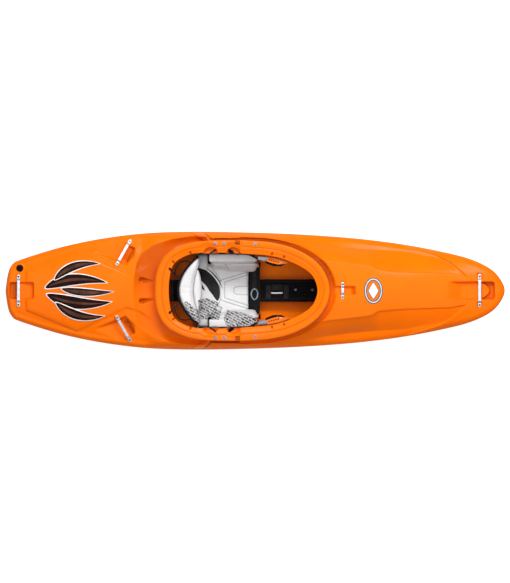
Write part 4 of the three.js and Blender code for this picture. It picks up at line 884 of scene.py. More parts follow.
def rimTop(plan, inward, width, onTop):  # what is moulded into the rim's upper side: how deep, and how much painted shade lies there
    away = np.abs(plan[..., 1])
    creaseShare = (inward / width[:, None] - 0.5) / 0.05
    # painted shade along the crease halfway across the top
    paintedShade = np.where(onTop, 0.55 * np.exp(-creaseShare ** 2), 0)
    drop = np.zeros_like(away)
    length, breadth = rim["slotSize"]
    for x, y, turn in rim["slots"]:  # shallow slots on both sides, with painted shade in them
        c, s = np.cos(np.radians(turn)), np.sin(np.radians(turn))
        u, v = (plan[..., 0] - x) * c + (away - y) * s, (away - y) * c - (plan[..., 0] - x) * s
        far = np.hypot(np.maximum(np.abs(u) - length / 2 + breadth, 0), v)
        slot = np.where(onTop, ease((breadth + 1.5 - far) / 3), 0)
        drop = drop + rim["slotDepth"] * slot
        paintedShade = np.maximum(paintedShade, slot)
    # a shallow pocket on each side, with painted shade in it
    rear, front, inner = rim["pocket"]
    inside = np.minimum(np.minimum(plan[..., 0] - rear, front - plan[..., 0]), away - inner)
    pocket = np.where(onTop, ease(inside / 3 + 0.5), 0)
    return drop + rim["pocketDepth"] * pocket, np.maximum(paintedShade, pocket)


def rimPiece():
    span = opening - lip
    width = np.linalg.norm(span, axis=1)
    way = span / width[:, None]
    section = rimSection(width)
    inward = np.stack([q for q, _ in section], 1)
    height = np.stack([h for _, h in section], 1)
    plan = lip[:, None, :] + way[:, None, :] * inward[..., None]
    onTop = np.zeros(len(section), bool)
    onTop[len(rim["section"]["lip"]):][:rim["section"]["topSteps"] + 1] = True
    drop, paintedShade = rimTop(plan, inward, width, onTop)
    z = rimHeight(plan[..., 0]) + height - drop
    outer, inner = (lip + way * q for q in (rim["wallOut"], rim["wallIn"]))
    outerLow, innerLow = deckHeight(*outer.T)[0] - 5, deckHeight(*inner.T)[0] - 12
    points = np.concatenate([
        np.concatenate([plan, z[..., None]], -1), np.concatenate([inner, innerLow[:, None]], -1)[:, None],
        np.concatenate([outer, outerLow[:, None]], -1)[:, None]], 1)
    faces = gridFaces(*points.shape[:2], True, True)
    piece = outwards(addPiece("cockpit_rim", points, faces, hullOrange, "hull"))
    shadeBy(piece, np.concatenate([paintedShade, np.zeros((len(paintedShade), 2))], 1).ravel())


rimPiece()
print("rim", rim["steps"], "steps")

# Swept, turned and closed pieces.
def openSpline(points, count):  # spline through open points, spread at equal steps of its length
    p = np.asarray(points, float)
    ends = np.vstack([2 * p[0] - p[1], p, 2 * p[-1] - p[-2]])
    at = np.linspace(0, len(p) - 1, count * 4)
    k = np.clip(at.astype(int), 0, len(p) - 2)
    t = (at - k)[:, None]
    p0, p1, p2, p3 = (ends[k + s] for s in range(4))
    square, cube = 2 * p0 - 5 * p1 + 4 * p2 - p3, 3 * p1 - p0 - 3 * p2 + p3
    line = 0.5 * (2 * p1 + (p2 - p0) * t + square * t ** 2 + cube * t ** 3)
    run = np.concatenate([[0], np.cumsum(np.linalg.norm(np.diff(line, axis=0), axis=1))])
    even = np.linspace(0, run[-1], count)
    return np.stack([np.interp(even, run, line[:, i]) for i in range(p.shape[1])], -1)


def unit(vectors):
    return vectors / np.maximum(np.linalg.norm(vectors, axis=-1, keepdims=True), 1e-12)


def capped(name, rings, material, body, stands=()):
    # rings closed round, with a fan of triangles at each end
    n, m = rings.shape[:2]
    points = np.concatenate([rings.reshape(-1, 3), [rings[0].mean(0), rings[-1].mean(0)]])
    j = np.arange(m)
    first = np.stack([np.full(m, n * m), (j + 1) % m, j], -1)
    last = np.stack([np.full(m, n * m + 1), (n - 1) * m + j, (n - 1) * m + (j + 1) % m], -1)
    return outwards(addPiece(name, points, [gridFaces(n, m, False, True), first, last], material, body,
                             stands))


def slabPiece(name, top, bottom, material, body, stands=()):
    # two grids of places joined round their edges
    r, c = top.shape[:2]
    grid = gridFaces(r, c)
    index = np.arange(r * c).reshape(r, c)
    edge = np.concatenate([index[0, :-1], index[:-1, -1], index[-1, :0:-1], index[:0:-1, 0]])
    after = np.roll(edge, -1)
    wall = np.stack([edge, after, after + r * c, edge + r * c], -1)
    points = np.concatenate([top.reshape(-1, 3), bottom.reshape(-1, 3)])
    return outwards(addPiece(name, points, [grid, grid[:, ::-1] + r * c, wall], material, body, stands))


def swept(name, path, section, material, body, stands=(), up=(0, 0, 1), sizes=None):
    # a closed section carried along a path: place = path + side * u + up * v, with a size for each step
    way = unit(np.gradient(path, axis=0))
    side = unit(np.cross(np.broadcast_to(up, path.shape), way))
    above = np.cross(way, side)
    sizes = np.ones((len(path), 2)) if sizes is None else sizes
    u, v = section[None, :, 0] * sizes[:, :1], section[None, :, 1] * sizes[:, 1:]
    rings = path[:, None] + side[:, None] * u[..., None] + above[:, None] * v[..., None]
    return capped(name, rings, material, body, stands)


def roundSection(radius, sides=14):
    angle = 2 * np.pi * np.arange(sides) / sides
    return np.stack([np.cos(angle), np.sin(angle)], -1) * radius


def power(value, exponent):  # a power that keeps the value's sign
    return np.sign(value) * np.abs(value) ** exponent


def softSection(width, height, sides=32, squareness=0.3):
    # a rectangle with round corners: signed powers of cosine and sine
    angle = 2 * np.pi * (np.arange(sides) + 0.5) / sides
    return stacked(power(np.cos(angle), squareness) * width / 2,
                   power(np.sin(angle), squareness) * height / 2)


def turned(name, profile, at, axis, material, body, stands=(), steps=48, socket=None, slit=None):
    # a profile of radius and height turned round an axis
    # a socket's faces get a second, dark material as painted shade in the socket, a slit lowers a strip
    axis = unit(np.asarray(axis, float))
    side = unit(np.cross(axis, (0.31, 0.95, 0.05)))
    other = np.cross(axis, side)
    radius, height = np.array(profile, float).T
    angle = 2 * np.pi * np.arange(steps) / steps
    u, v = radius[:, None] * np.cos(angle), radius[:, None] * np.sin(angle)
    h = np.broadcast_to(height[:, None], u.shape).copy()
    if slit:
        h -= slit[1] * ease((slit[0] / 2 + 0.5 - np.abs(u)) / 0.8) * (h > height.max() - slit[1])
    rings = np.asarray(at, float) + side * u[..., None] + other * v[..., None] + axis * h[..., None]
    piece = capped(name, rings, material, body, stands)
    # painted shade: the faces inside the socket take the dark material
    if socket:
        piece.data.materials.append(socket[1])
        away = valuesOf(piece.data.polygons, "center") / mm - at
        along = away @ axis
        across = np.linalg.norm(away - along[:, None] * axis, axis=1)
        piece.data.polygons.foreach_set("material_index",
                                        ((across < socket[0]) & (along > 0)).astype(np.int32))
    return piece


def closedSweep(name, line, centre, section, material, body, stands=()):
    # a section carried round a closed line: place = line + outwards * u + up * v
    out = unit(line - centre)
    place = line[:, None] + out[:, None] * section[None, :, :1]
    points = place + np.array([0, 0, 1.0]) * section[None, :, 1:]
    faces = gridFaces(len(line), len(section), True, True)
    return outwards(addPiece(name, points, faces, material, body, stands))


def bodyOf(node):
    return body_of(frame["nodes"][node])[0]


def carriedOver(name, node, material, width, angle=32):
    # the node's own shape, joined and with its edges rounded
    shape = bmesh.new()
    shape.from_mesh(frame["nodes"][node].data)
    bmesh.ops.remove_doubles(shape, verts=shape.verts, dist=0.02 * mm)
    bmesh.ops.dissolve_limit(shape, angle_limit=np.radians(1.5), verts=shape.verts, edges=shape.edges)
    bmesh.ops.recalc_face_normals(shape, faces=shape.faces)
    mesh = bpy.data.meshes.new(name)
    shape.to_mesh(mesh)
    shape.free()
    smooth(mesh)
    mesh.set_sharp_from_angle(angle=np.radians(angle))
    mesh.materials.clear()
    mesh.materials.append(material)
    piece = bpy.data.objects.new(name, mesh)
    scene.collection.objects.link(piece)
    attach(piece, bodyOf(node))
    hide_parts(node)
    return bevelled(piece, width, angle)


# A ledge under each scallop, level with the rim's lower edge: an arch in plan, a soft rectangle in section.
ledge = {"inner": 203, "outer": 251, "drop": 41, "thickness": 3, "overlap": 6, "slopeDrop": 5,
         "slopeFrom": 238}
for k, (start, end) in enumerate(rim["scallops"]):
    for sideName, side in sides:
        x, y = np.meshgrid(np.linspace(start - ledge["overlap"], end + ledge["overlap"], 40),
                           np.linspace(ledge["inner"], ledge["outer"], 16), indexing="ij")
        z = rimHeight(x) - ledge["drop"] - ledge["slopeDrop"] * ease((y - ledge["slopeFrom"]) / 12)
        slabPiece(f"scallop_ledge_{sideName}_{k + 1}", stacked(x, y * side, z),
                  stacked(x, y * side, z - ledge["thickness"]), hullOrange, "hull")
print("ledges ready")

# Grab handles and their screws.
handleBar = {"thickness": 5, "rise": 13, "bend": 14, "waist": 0.12, "waistLength": 30, "steps": 160}
handleScrew = {
    "inset": 11, "socket": 2.9,
    "profile": [(2.5, -7), (2.5, 0.1), (5.6, 0.1), (6, 0.5), (6, 1.4), (5.5, 2.1), (4.4, 2.7), (3.2, 3.0),
                (2.9, 2.9), (2.7, 1.3), (0.4, 1.1)],
}


def placeOn(handle, u, lift):  # a place at u along a handle, at a height over the plane of its feet
    x, y = (handle["centre"][k] + handle["along"][k] * u for k in (0, 1))
    return stacked(x, y, handle["level"] + handle["slope"] * u + lift)


def handlePiece(name, handle):
    # level on both feet, lifted between them by a smooth step; its tips are round in plan
    half, width, thickness = handle["length"] / 2, handle["width"], handleBar["thickness"]
    u = -half * np.cos(np.pi * np.linspace(0.004, 0.996, handleBar["steps"]))
    fromFoot = half - footLength - np.abs(u)
    narrow = 1 - handleBar["waist"] * ease(fromFoot / handleBar["waistLength"])
    tip = np.sqrt(np.maximum(1 - np.clip((np.abs(u) - half + width / 2) / (width / 2), 0, 1) ** 2, 1e-3))
    path = placeOn(handle, u, thickness / 2 + handleBar["rise"] * ease(fromFoot / handleBar["bend"]))
    swept(name + "_bar", path, softSection(width, thickness, 28, 0.45), looks["steel"], "hull",
          [name + "_handle"], sizes=np.stack([narrow * tip, np.maximum(tip, 0.5)], -1))


def handleScrews(name, handle):
    axis = (*(-handle["slope"] * handle["along"]), 1)
    for k, end in enumerate((-1, 1)):
        at = placeOn(handle, end * (handle["length"] / 2 - handleScrew["inset"]),
                     handleBar["thickness"] + 0.1)
        # the sockets are painted dark, as painted shade
        turned(f"{name}_bolt_{k + 1}", handleScrew["profile"], at, axis, looks["darkSteel"], "hull",
               [f"{name}_screw_{k + 1}"], socket=(handleScrew["socket"], looks["blackPlastic"]))


for name, handle in handles.items():
    handlePiece(name, handle)
    handleScrews(name, handle)
print("handles ready")

# Bolts on the rim, square to its plane.
rimBolt = {
    "places": [(-214.5, 258), (-165.5, 258), (4.4, 253)], "top": 5.9, "socket": 4.4,
    "profile": [(4, -12), (4, 0.2), (10, 0.2), (10.5, 0.7), (10.4, 1.8), (9.4, 3.2), (7.6, 4.3),
                (5.4, 4.9), (4.4, 4.9), (4.1, 2.6), (0.5, 2.4)],
}
rimAxis = (-(rim["frontHeight"] - rim["rearHeight"]) / rim["length"], 0, 1)
for sideName, side in sides:
    for k, (x, y) in enumerate(rimBolt["places"]):
        node = f"rim_bolt_{sideName}_{k + 1}"
        low = cornersOf(node)[:, 2].max() - rimBolt["top"]
        # the sockets are painted dark, as painted shade
        turned(f"rim_bolt_head_{sideName}_{k + 1}", rimBolt["profile"], (x, y * side, low), rimAxis,
               looks["dullSteel"], "hull", [node], socket=(rimBolt["socket"], looks["boltSocketShade"]))

# The drain plug: a turned cap with a slit, on a round seal.
plugCap = {
    "top": 7.1, "slit": (4, 3), "sealRadius": 17, "sealSize": 1.6, "sealSteps": 72,
    "profile": [(8, -9), (8, 0.3), (13.6, 0.3), (14.5, 1.0), (14.5, 2.4), (13.8, 3.0), (12.2, 3.1),
                (11.6, 3.6), (11.4, 5.9), (10.9, 6.7), (9.8, 7.0), (8, 7.0), (6, 6.9), (4, 6.9), (2, 6.9),
                (0.6, 6.9)],
}
plugX, plugY, _ = deck["plug"]
plugAt = (plugX, plugY, cornersOf("drain_plug")[:, 2].max() - plugCap["top"])
turned("plug_cap", plugCap["profile"], plugAt, (0, 0, 1), looks["blackPlastic"], "drain_plug_body",
       ["drain_plug"], steps=120, slit=plugCap["slit"])
sealAngle = np.linspace(0, 2 * np.pi, plugCap["sealSteps"] + 1)[:-1]
sealLine = stacked(plugX + plugCap["sealRadius"] * np.cos(sealAngle),
                   plugY + plugCap["sealRadius"] * np.sin(sealAngle),
                   plugLevel + 0.2)
sealSection = roundSection(plugCap["sealSize"], 12) * (plugCap["sealSize"], 1)
closedSweep("plug_seal", sealLine, (plugX, plugY, plugLevel + 0.2), sealSection, looks["blackPlastic"],
            "hull")
print("bolts and plug ready")

# Seat cover: light foam-backed cloth with a printed pattern and painted shade along its seams, painted on
# each pad by its place.
cover = {
    "light": (0.72, 0.72, 0.726), "shade": (0.65, 0.65, 0.656), "seamShade": (0.16, 0.16, 0.163, 1),
    "ink": (0.010, 0.010, 0.011), "inkGrey": (0.032, 0.032, 0.034), "gap": (0.9, 0.9, 0.9, 1),
    "stroke": {"Scale": 1.0, "Mortar Size": 0.0016, "Brick Width": 0.031, "Row Height": 0.0135,
               "Color1": (0, 0, 0, 1), "Color2": (0.35, 0.35, 0.35, 1), "Mortar": (1, 1, 1, 1)},
    "arcs": [((-395, -70), 160, 222, 4, 78), ((-395, -70), 230, 237, 18, 60),
             ((-395, -70), 126, 150, 30, 82)],
    "patches": [
        [(-312, -52), (-262, -40), (-206, -64), (-176, -96), (-196, -160), (-300, -158)],
        [(-152, -106), (-60, -122), (6, -146), (16, -210), (-150, -210), (-172, -150)],
        [(-412, -76), (-372, -58), (-318, -104), (-296, -176), (-330, -192), (-378, -146)],
    ],
}


def coverLook(name, look):
    # cloth weave and mottling; ink where the arcs' mask is, rows of short strokes where the patches' mask is;
    # painted shade along the seams
    material, shader = shaderOf(name, look["light"], 0.8)
    vector = placeOf(material)
    weave = [addNode(material, "ShaderNodeTexWave", {"Scale": 420.0, "Distortion": 0.3},
                     bands_direction=way) for way in "XY"]
    for rib in weave:
        wire(material, vector, rib.inputs["Vector"])
    threads = sumOf(material, "MULTIPLY", weave[0].outputs["Fac"], weave[1].outputs["Fac"])
    patches = noiseOf(material, vector, 18.0, 5.0)
    ground = rampOf(material, patches, [(0.3, look["shade"]), (0.62, look["light"])])
    slanted = placeOf(material, (1, 1, 1), (0, 0, 0.5))
    bricks = addNode(material, "ShaderNodeTexBrick", look["stroke"])
    wire(material, slanted, bricks.inputs["Vector"])
    breaks = spreadOf(material, noiseOf(material, slanted, 62.0, 2.0), 0.0, 1.0, 0.59, 0.62)
    strokes = mixOf(material, breaks, bricks.outputs["Color"], look["gap"])
    inkTone = rampOf(material, noiseOf(material, vector, 14.0, 3.0),
                     [(0.35, look["ink"]), (0.75, look["inkGrey"])])
    masks = {}
    for mask, span in (("arcs", (0.0, 1.0, 0.42, 0.58)), ("patches", (0.0, 1.0, 0.42, 0.58)),
                       ("seams", (0.0, 0.62, 0.2, 0.9))):  # low, high, and where the spread starts and ends
        read = addNode(material, "ShaderNodeAttribute", attribute_name=mask)
        masks[mask] = spreadOf(material, read.outputs["Fac"], *span)
    dark = addNode(material, "ShaderNodeRGBToBW")
    wire(material, strokes, dark.inputs[0])
    strokeShare = sumOf(material, "MULTIPLY", masks["patches"],
                        sumOf(material, "SUBTRACT", 1.0, dark.outputs[0]), clamp=True)
    inkShare = sumOf(material, "MAXIMUM", strokeShare, masks["arcs"])
    # painted shade along the sewn channels and seams
    sewnAndShaded = mixOf(material, masks["seams"], ground, look["seamShade"])
    wire(material, mixOf(material, inkShare, sewnAndShaded, inkTone), shader.inputs["Base Color"])
    wire(material, spreadOf(material, patches, 0.7, 0.9), shader.inputs["Roughness"])
    grain = bumpOf(material, shader, threads, 0.12)
    bumpOf(material, shader, noiseOf(material, vector, 60.0, 3.0), 0.4, 0.5, grain)
    shader.inputs["Sheen Weight"].default_value = 0.04
    shader.inputs["Specular IOR Level"].default_value = 0.12
    return material


looks["cover"] = coverLook("seat_cover", cover)


def baked(piece):  # the piece's mesh with its modifiers applied
    graph = bpy.context.evaluated_depsgraph_get()
    graph.update()
    mesh = bpy.data.meshes.new_from_object(piece.evaluated_get(graph))
    piece.modifiers.clear()
    piece.data = mesh
    smooth(mesh)


def stuffed(piece, cushion):
    # remeshed into small squares, softened, and blown up as cloth with each point held near its start
    # then every face is divided once
    remesh = piece.modifiers.new("remesh", "REMESH")
    remesh.mode, remesh.voxel_size = "VOXEL", cushion["voxel"] * mm
    baked(piece)
    soften = piece.modifiers.new("soften", "SMOOTH")
    soften.factor, soften.iterations = 0.5, cushion["soften"]
    baked(piece)
    start = coordinatesOf(piece.data)
    cloth = piece.modifiers.new("cloth", "CLOTH")
    cloth.settings.quality = 4
    cloth.settings.use_pressure = True
    cloth.settings.uniform_pressure_force = cushion["pressure"]
    cloth.settings.effector_weights.gravity = 0
    for step in range(1, 21):
        scene.frame_set(step)
    baked(piece)
    scene.frame_set(1)
    move = coordinatesOf(piece.data) - start
    far = np.linalg.norm(move, axis=1, keepdims=True)
    setCoordinates(piece.data, start + move * np.minimum(1, cushion["cap"] / np.maximum(far, 1e-6)))
    finer = piece.modifiers.new("finer", "SUBSURF")
    finer.levels = finer.render_levels = 1
    baked(piece)


def paintCover(piece, arcsShown=True, lines=()):
    # masks of the printed arcs, the patches and the painted seam shade, worked out from each point's place
    points = coordinatesOf(piece.data)
    x, y = points[:, 0], points[:, 1]
    arcs = np.zeros(len(points))
    if arcsShown:
        # each arc lies inside a ring, between two directions, and tapers to both ends
        for (cx, cy), inner, outer, low, high in cover["arcs"]:
            radius, turn = np.hypot(x - cx, y - cy), np.degrees(np.arctan2(y - cy, x - cx))
            middle, half = (inner + outer) / 2, (outer - inner) / 2
            taper = np.clip(np.minimum(turn - low, high - turn) / 22, 0, 1) ** 0.6
            arcs = np.maximum(arcs, np.clip((half * taper - np.abs(radius - middle)) / 3 + 0.5, 0, 1))
    patches = np.zeros(len(points))
    for patch in cover["patches"]:
        patches = np.maximum(patches, np.clip(depthInside(x, y, patch) / 3 + 0.5, 0, 1))
    # painted shade along the seam lines, on upward faces only
    seams = np.zeros(len(points))
    for line in lines:
        seams = np.maximum(seams, np.exp(-(lineDistance(x, y, line, closed=False) / 2.6) ** 2))
    seams = seams * ease((normalsOf(piece.data)[:, 2] - 0.1) / 0.3)
    for name, values in (("arcs", arcs), ("patches", patches), ("seams", seams)):
        layer = piece.data.attributes.new(name, "FLOAT", "POINT")
        layer.data.foreach_set("value", values.astype(np.float32))


def pressLines(piece, lines, depth, width):
    # sews channels into the upper side: depth times a bell curve of the distance to each line
    points, up = coordinatesOf(piece.data), normalsOf(piece.data)[:, 2]
    near = np.full(len(points), 1e9)
    for line in lines:
        near = np.minimum(near, lineDistance(points[:, 0], points[:, 1], line, closed=False))
    points[:, 2] -= depth * np.exp(-(near / width) ** 2) * ease((up - 0.2) / 0.3)
    setCoordinates(piece.data, points)


# Seat pad: a dish that rises to its sides and front, crowned between its edges.
seatPad = {
    "rear": -318, "front": 28, "notch": -27, "notchHalfWidth": 129, "halfWidth": 155, "height": 62,
    "sideRise": 24, "frontRise": 18, "frontShare": 0.66, "thickness": 24, "crown": 5, "corner": 10,
    "edgeDrop": 6, "edgeReach": 12, "inset": 2.5, "voxel": 4.5, "pressure": 4.0, "cap": 4.0, "fill": 0.6,
    "soften": 6,
    "channels": [[(-28, 106), (-100, 84), (-180, 60), (-190, 50), (-191, 0), (-190, -44), (-180, -55),
                  (-100, -81), (-28, -103)],
                 [(-36, 87), (-100, 67), (-158, 50), (-165, 42), (-166, 0), (-165, -35), (-158, -44),
                  (-100, -62), (-36, -82)]],
    "channelPress": (4.2, 4.0),
    "lozenge": [(-38, 24), (-96, 21), (-112, 12), (-115, 0), (-112, -12), (-96, -21), (-38, -24)],
    "seams": [[(-250, 150), (-196, 70), (-191, 50)], [(-250, -150), (-196, -66), (-191, -46)]],
    "seamPress": (2.2, 2.8),
}


def seatFront(y, start, width):  # the notch for the leg lifter in the middle, the full length at the sides
    return seatPad["notch"] + (seatPad["front"] - seatPad["notch"]) * ease((np.abs(y) - start) / width)


def seatSurface(x, y):
    # height of the dish: rises with the cube of the share across, and along a ramp at the front
    across = np.clip(np.abs(y) / seatPad["halfWidth"], 0, 1)
    row = np.clip((x - seatPad["rear"]) / (seatFront(y, 125, 8) - seatPad["rear"]), 0, 1)
    ramp = np.maximum(0, (row - seatPad["frontShare"]) / (1 - seatPad["frontShare"]))
    return seatPad["height"] + seatPad["sideRise"] * across ** 3 + seatPad["frontRise"] * ramp, row, across


def seatPadPiece():
    inset = seatPad["inset"]
    r, c = np.meshgrid(np.linspace(0, 1, 90), np.linspace(-1, 1, 90), indexing="ij")
    y = c * (seatPad["halfWidth"] - inset)
    rear = seatPad["rear"] + inset + seatPad["corner"] * np.abs(c) ** 8
    x = rear + r * (seatFront(y, 127, 5) - inset - rear)
    z, row, across = seatSurface(x, y)
    edge = np.minimum(np.minimum(r, 1 - r) * 300, (1 - np.abs(c)) * 150)
    crown = seatPad["crown"] * np.sqrt(np.sin(np.pi * np.clip(row, 0, 1))) * (1 - across ** 4)
    top = z + crown - seatPad["edgeDrop"] * (1 - ease(edge / seatPad["edgeReach"])) - inset
    bottom = z - seatPad["thickness"] + inset
    pad = slabPiece("seat_cushion", stacked(x, y, np.maximum(top, bottom + 4)), stacked(x, y, bottom),
                    looks["cover"], "seat", ["seat_pad"])
    stuffed(pad, seatPad)
    points = coordinatesOf(pad.data)
    level = seatSurface(points[:, 0], points[:, 1])[0]
    points[:, 2] = np.clip(points[:, 2], level - seatPad["thickness"] + 0.2, level + 8)
    points[:, 1] = np.clip(points[:, 1], -seatPad["halfWidth"] - 1.5, seatPad["halfWidth"] + 1.5)
    inNotch = np.abs(points[:, 1]) < seatPad["notchHalfWidth"] - 0.5
    front = np.where(inNotch, seatPad["notch"] - 0.2, seatPad["front"] + 2)
    points[:, 0] = np.clip(points[:, 0], seatPad["rear"] - 1, front)
    setCoordinates(pad.data, points)
    channels = [openSpline(line, 160) for line in seatPad["channels"]]
    seams = [openSpline(line, 90) for line in seatPad["seams"] + [seatPad["lozenge"]]]
    pressLines(pad, channels, *seatPad["channelPress"])
    pressLines(pad, seams, *seatPad["seamPress"])
    paintCover(pad, lines=channels + seams)


seatPadPiece()
print("seat pad ready")

# Hip pads: upright pads with a swelling towards the hips, cut away at the outer front corner.
hipPad = {
    "rear": -255, "front": 18, "low": 68.3, "high": 258, "inner": 158, "outer": 203.2, "bulge": 12,
    "bulgeLow": 132, "innermost": 144.5, "endDrop": 6, "chamferStart": -25, "chamferEnd": 28,
    "chamferDepth": 36, "inset": 2.5, "voxel": 5.0, "pressure": 4.0, "cap": 3.0, "fill": 0.55, "soften": 10,
}


def hipPadPiece(sideName, side):
    inset = hipPad["inset"]
    r, t = np.meshgrid(np.linspace(0, 1, 70), np.linspace(0, 1, 60), indexing="ij")
    x = hipPad["rear"] + inset + r * (hipPad["front"] - hipPad["rear"] - 2 * inset)
    tall = hipPad["high"] - hipPad["low"] - 2 * inset - hipPad["endDrop"] * (2 * np.abs(r - 0.5)) ** 6
    z = hipPad["low"] + inset + t * tall
    upShare = np.clip((z - hipPad["bulgeLow"]) / (hipPad["high"] - hipPad["bulgeLow"]), 0, 1)
    swell = np.sin(np.pi * upShare) * np.sqrt(np.sin(np.pi * np.clip(r, 0, 1)))
    inner = hipPad["inner"] + inset - hipPad["bulge"] * swell
    cut = np.clip((x - hipPad["chamferStart"]) / (hipPad["chamferEnd"] - hipPad["chamferStart"]), 0, 1)
    outer = hipPad["outer"] - inset - hipPad["chamferDepth"] * cut
    pad = slabPiece(f"hip_cushion_{sideName}", stacked(x, inner * side, z), stacked(x, outer * side, z),
                    looks["cover"], "seat", [f"hip_pad_{sideName}"])
    stuffed(pad, hipPad)
    points = coordinatesOf(pad.data)
    points[:, 1] = side * np.clip(points[:, 1] * side, hipPad["innermost"], hipPad["outer"] + 0.2)
    points[:, 2] = np.clip(points[:, 2], hipPad["low"] + 0.2, hipPad["high"] + 2)
    setCoordinates(pad.data, points)
    paintCover(pad, False)


# Backrest: a thin shell bent along a parabola, a thick pad before it, and a rolled trim on top.
back = {
    "halfWidth": 190.3, "apex": -423, "sag": 111, "low": 140, "high": 262, "shell": 5, "corner": 18,
    "cornerDrop": 16, "trimWidth": 9.5, "trimHeight": 6.5, "padHalfWidth": 180, "padLow": 142,
    "padHigh": 268, "padCentre": 78, "padEnd": 30, "inset": 3, "voxel": 5.0, "pressure": 4.0, "cap": 4.0,
    "fill": 0.65, "soften": 8,
    "creases": [[(-352, 80), (-392, 40)], [(-350, -10), (-410, -14)], [(-350, 14), (-408, 22)]],
    "creasePress": (1.6, 3.5),
}
lumbar = {
    "front": -291, "bow": 22, "halfWidth": 128, "gap": 0.6, "level": 176, "tall": 66, "voxel": 4.5,
    "pressure": 3.0, "cap": 2.0, "fill": 0.5, "soften": 4,
}


def backCurve(y):
    return back["apex"] + back["sag"] * (y / back["halfWidth"]) ** 2


def padDepth(share):  # the pad's depth from the shell: full in the middle, less to both ends
    return back["padCentre"] + (back["padEnd"] - back["padCentre"]) * np.abs(share) ** 2.5


def backrestShell():  # its ends are rounded by a quarter circle, and a trim runs along its upper edge
    half = back["halfWidth"]
    y, z = np.meshgrid(np.linspace(-half, half, 81), np.linspace(back["low"], back["high"], 25),
                       indexing="ij")
    beyond = np.clip(np.abs(y) - half + back["corner"], 0, back["corner"]) / back["corner"]
    corner = back["cornerDrop"] * (1 - np.sqrt(np.clip(1 - beyond ** 2, 0, 1)))
    middle = (back["low"] + back["high"]) / 2
    z = middle + (z - middle) * (1 - corner / (back["high"] - middle))
    x = backCurve(y)
    shell = slabPiece("backrest_board", stacked(x, y, z), stacked(x + back["shell"], y, z),
                      looks["blackPlastic"], "backrest", ["backrest_shell"])
    bevelled(shell, 1.2, 40, 2)
    y = np.linspace(-half + back["cornerDrop"], half - back["cornerDrop"], 90)
    path = stacked(backCurve(y) + back["shell"] / 2, y, back["high"] + 0.6)
    swept("backrest_trim", path, softSection(back["trimWidth"], back["trimHeight"], 20, 0.7),
          looks["blackPlastic"], "backrest")


def backrestPad():  # rings with soft corners along the shell's curve, a little smaller at both ends
    share, angle = np.meshgrid(np.linspace(-1, 1, 90), 2 * np.pi * (np.arange(40) + 0.5) / 40, indexing="ij")
    inset = back["inset"]
    y = share * (back["padHalfWidth"] - inset)
    deep = padDepth(share) / 2
    shrink = 1 - 0.25 * np.abs(share) ** 6
    x = backCurve(y) + back["shell"] + 0.3 + deep + (deep - inset) * shrink * power(np.cos(angle), 0.6)
    tall = (back["padHigh"] - back["padLow"]) / 2 - inset
    z = (back["padLow"] + back["padHigh"]) / 2 + tall * shrink * power(np.sin(angle), 0.6)
    pad = capped("backrest_cushion", stacked(x, y, z), looks["cover"], "backrest", ["backrest_pad"])
    stuffed(pad, back)
    points = coordinatesOf(pad.data)
    points[:, 0] = np.maximum(points[:, 0], backCurve(points[:, 1]) + back["shell"] + 0.2)
    points[:, 2] = np.clip(points[:, 2], back["padLow"], back["padHigh"] + 2)
    setCoordinates(pad.data, points)
    pressLines(pad, back["creases"], *back["creasePress"])
    paintCover(pad, False)


def lumbarPad():
    # before the backrest's pad: a lens in plan, its depth falling with the square of the share across
    share, angle = np.meshgrid(np.linspace(-1, 1, 70), 2 * np.pi * (np.arange(36) + 0.5) / 36, indexing="ij")
    y = share * lumbar["halfWidth"]
    rear = backCurve(y) + back["shell"] + padDepth(y / back["padHalfWidth"]) + lumbar["gap"]
    front = lumbar["front"] - lumbar["bow"] * share ** 2
    half = np.maximum((front - rear) / 2, 0.6) * np.sqrt(np.maximum(1 - share ** 6, 0.02))
    x = rear + half + half * power(np.cos(angle), 0.7)
    z = lumbar["level"] + lumbar["tall"] * (1 - 0.35 * share ** 4) * power(np.sin(angle), 0.6)
    roll = capped("lumbar_cushion", stacked(x, y, z), looks["cover"], "backrest")
    stuffed(roll, lumbar)
    paintCover(roll, False)


# Bolsters: wedges on the seat's sides that lean up to the hip pads, with a slightly swollen slope.
bolster = {
    "rear": -242, "front": 22, "low": 104, "high": 157.5, "top": 212, "lip": 8, "swell": 7, "endShare": 0.07,
    "waist": 0.72, "waistAt": -190, "waistLength": 70, "voxel": 5.0, "pressure": 3.0, "cap": 2.0, "fill": 0.5,
    "soften": 6, "sewnAndShaded": [(-172, 164), (-150, 128), (-130, 96)], "sewnPress": (2.0, 3.0),
}


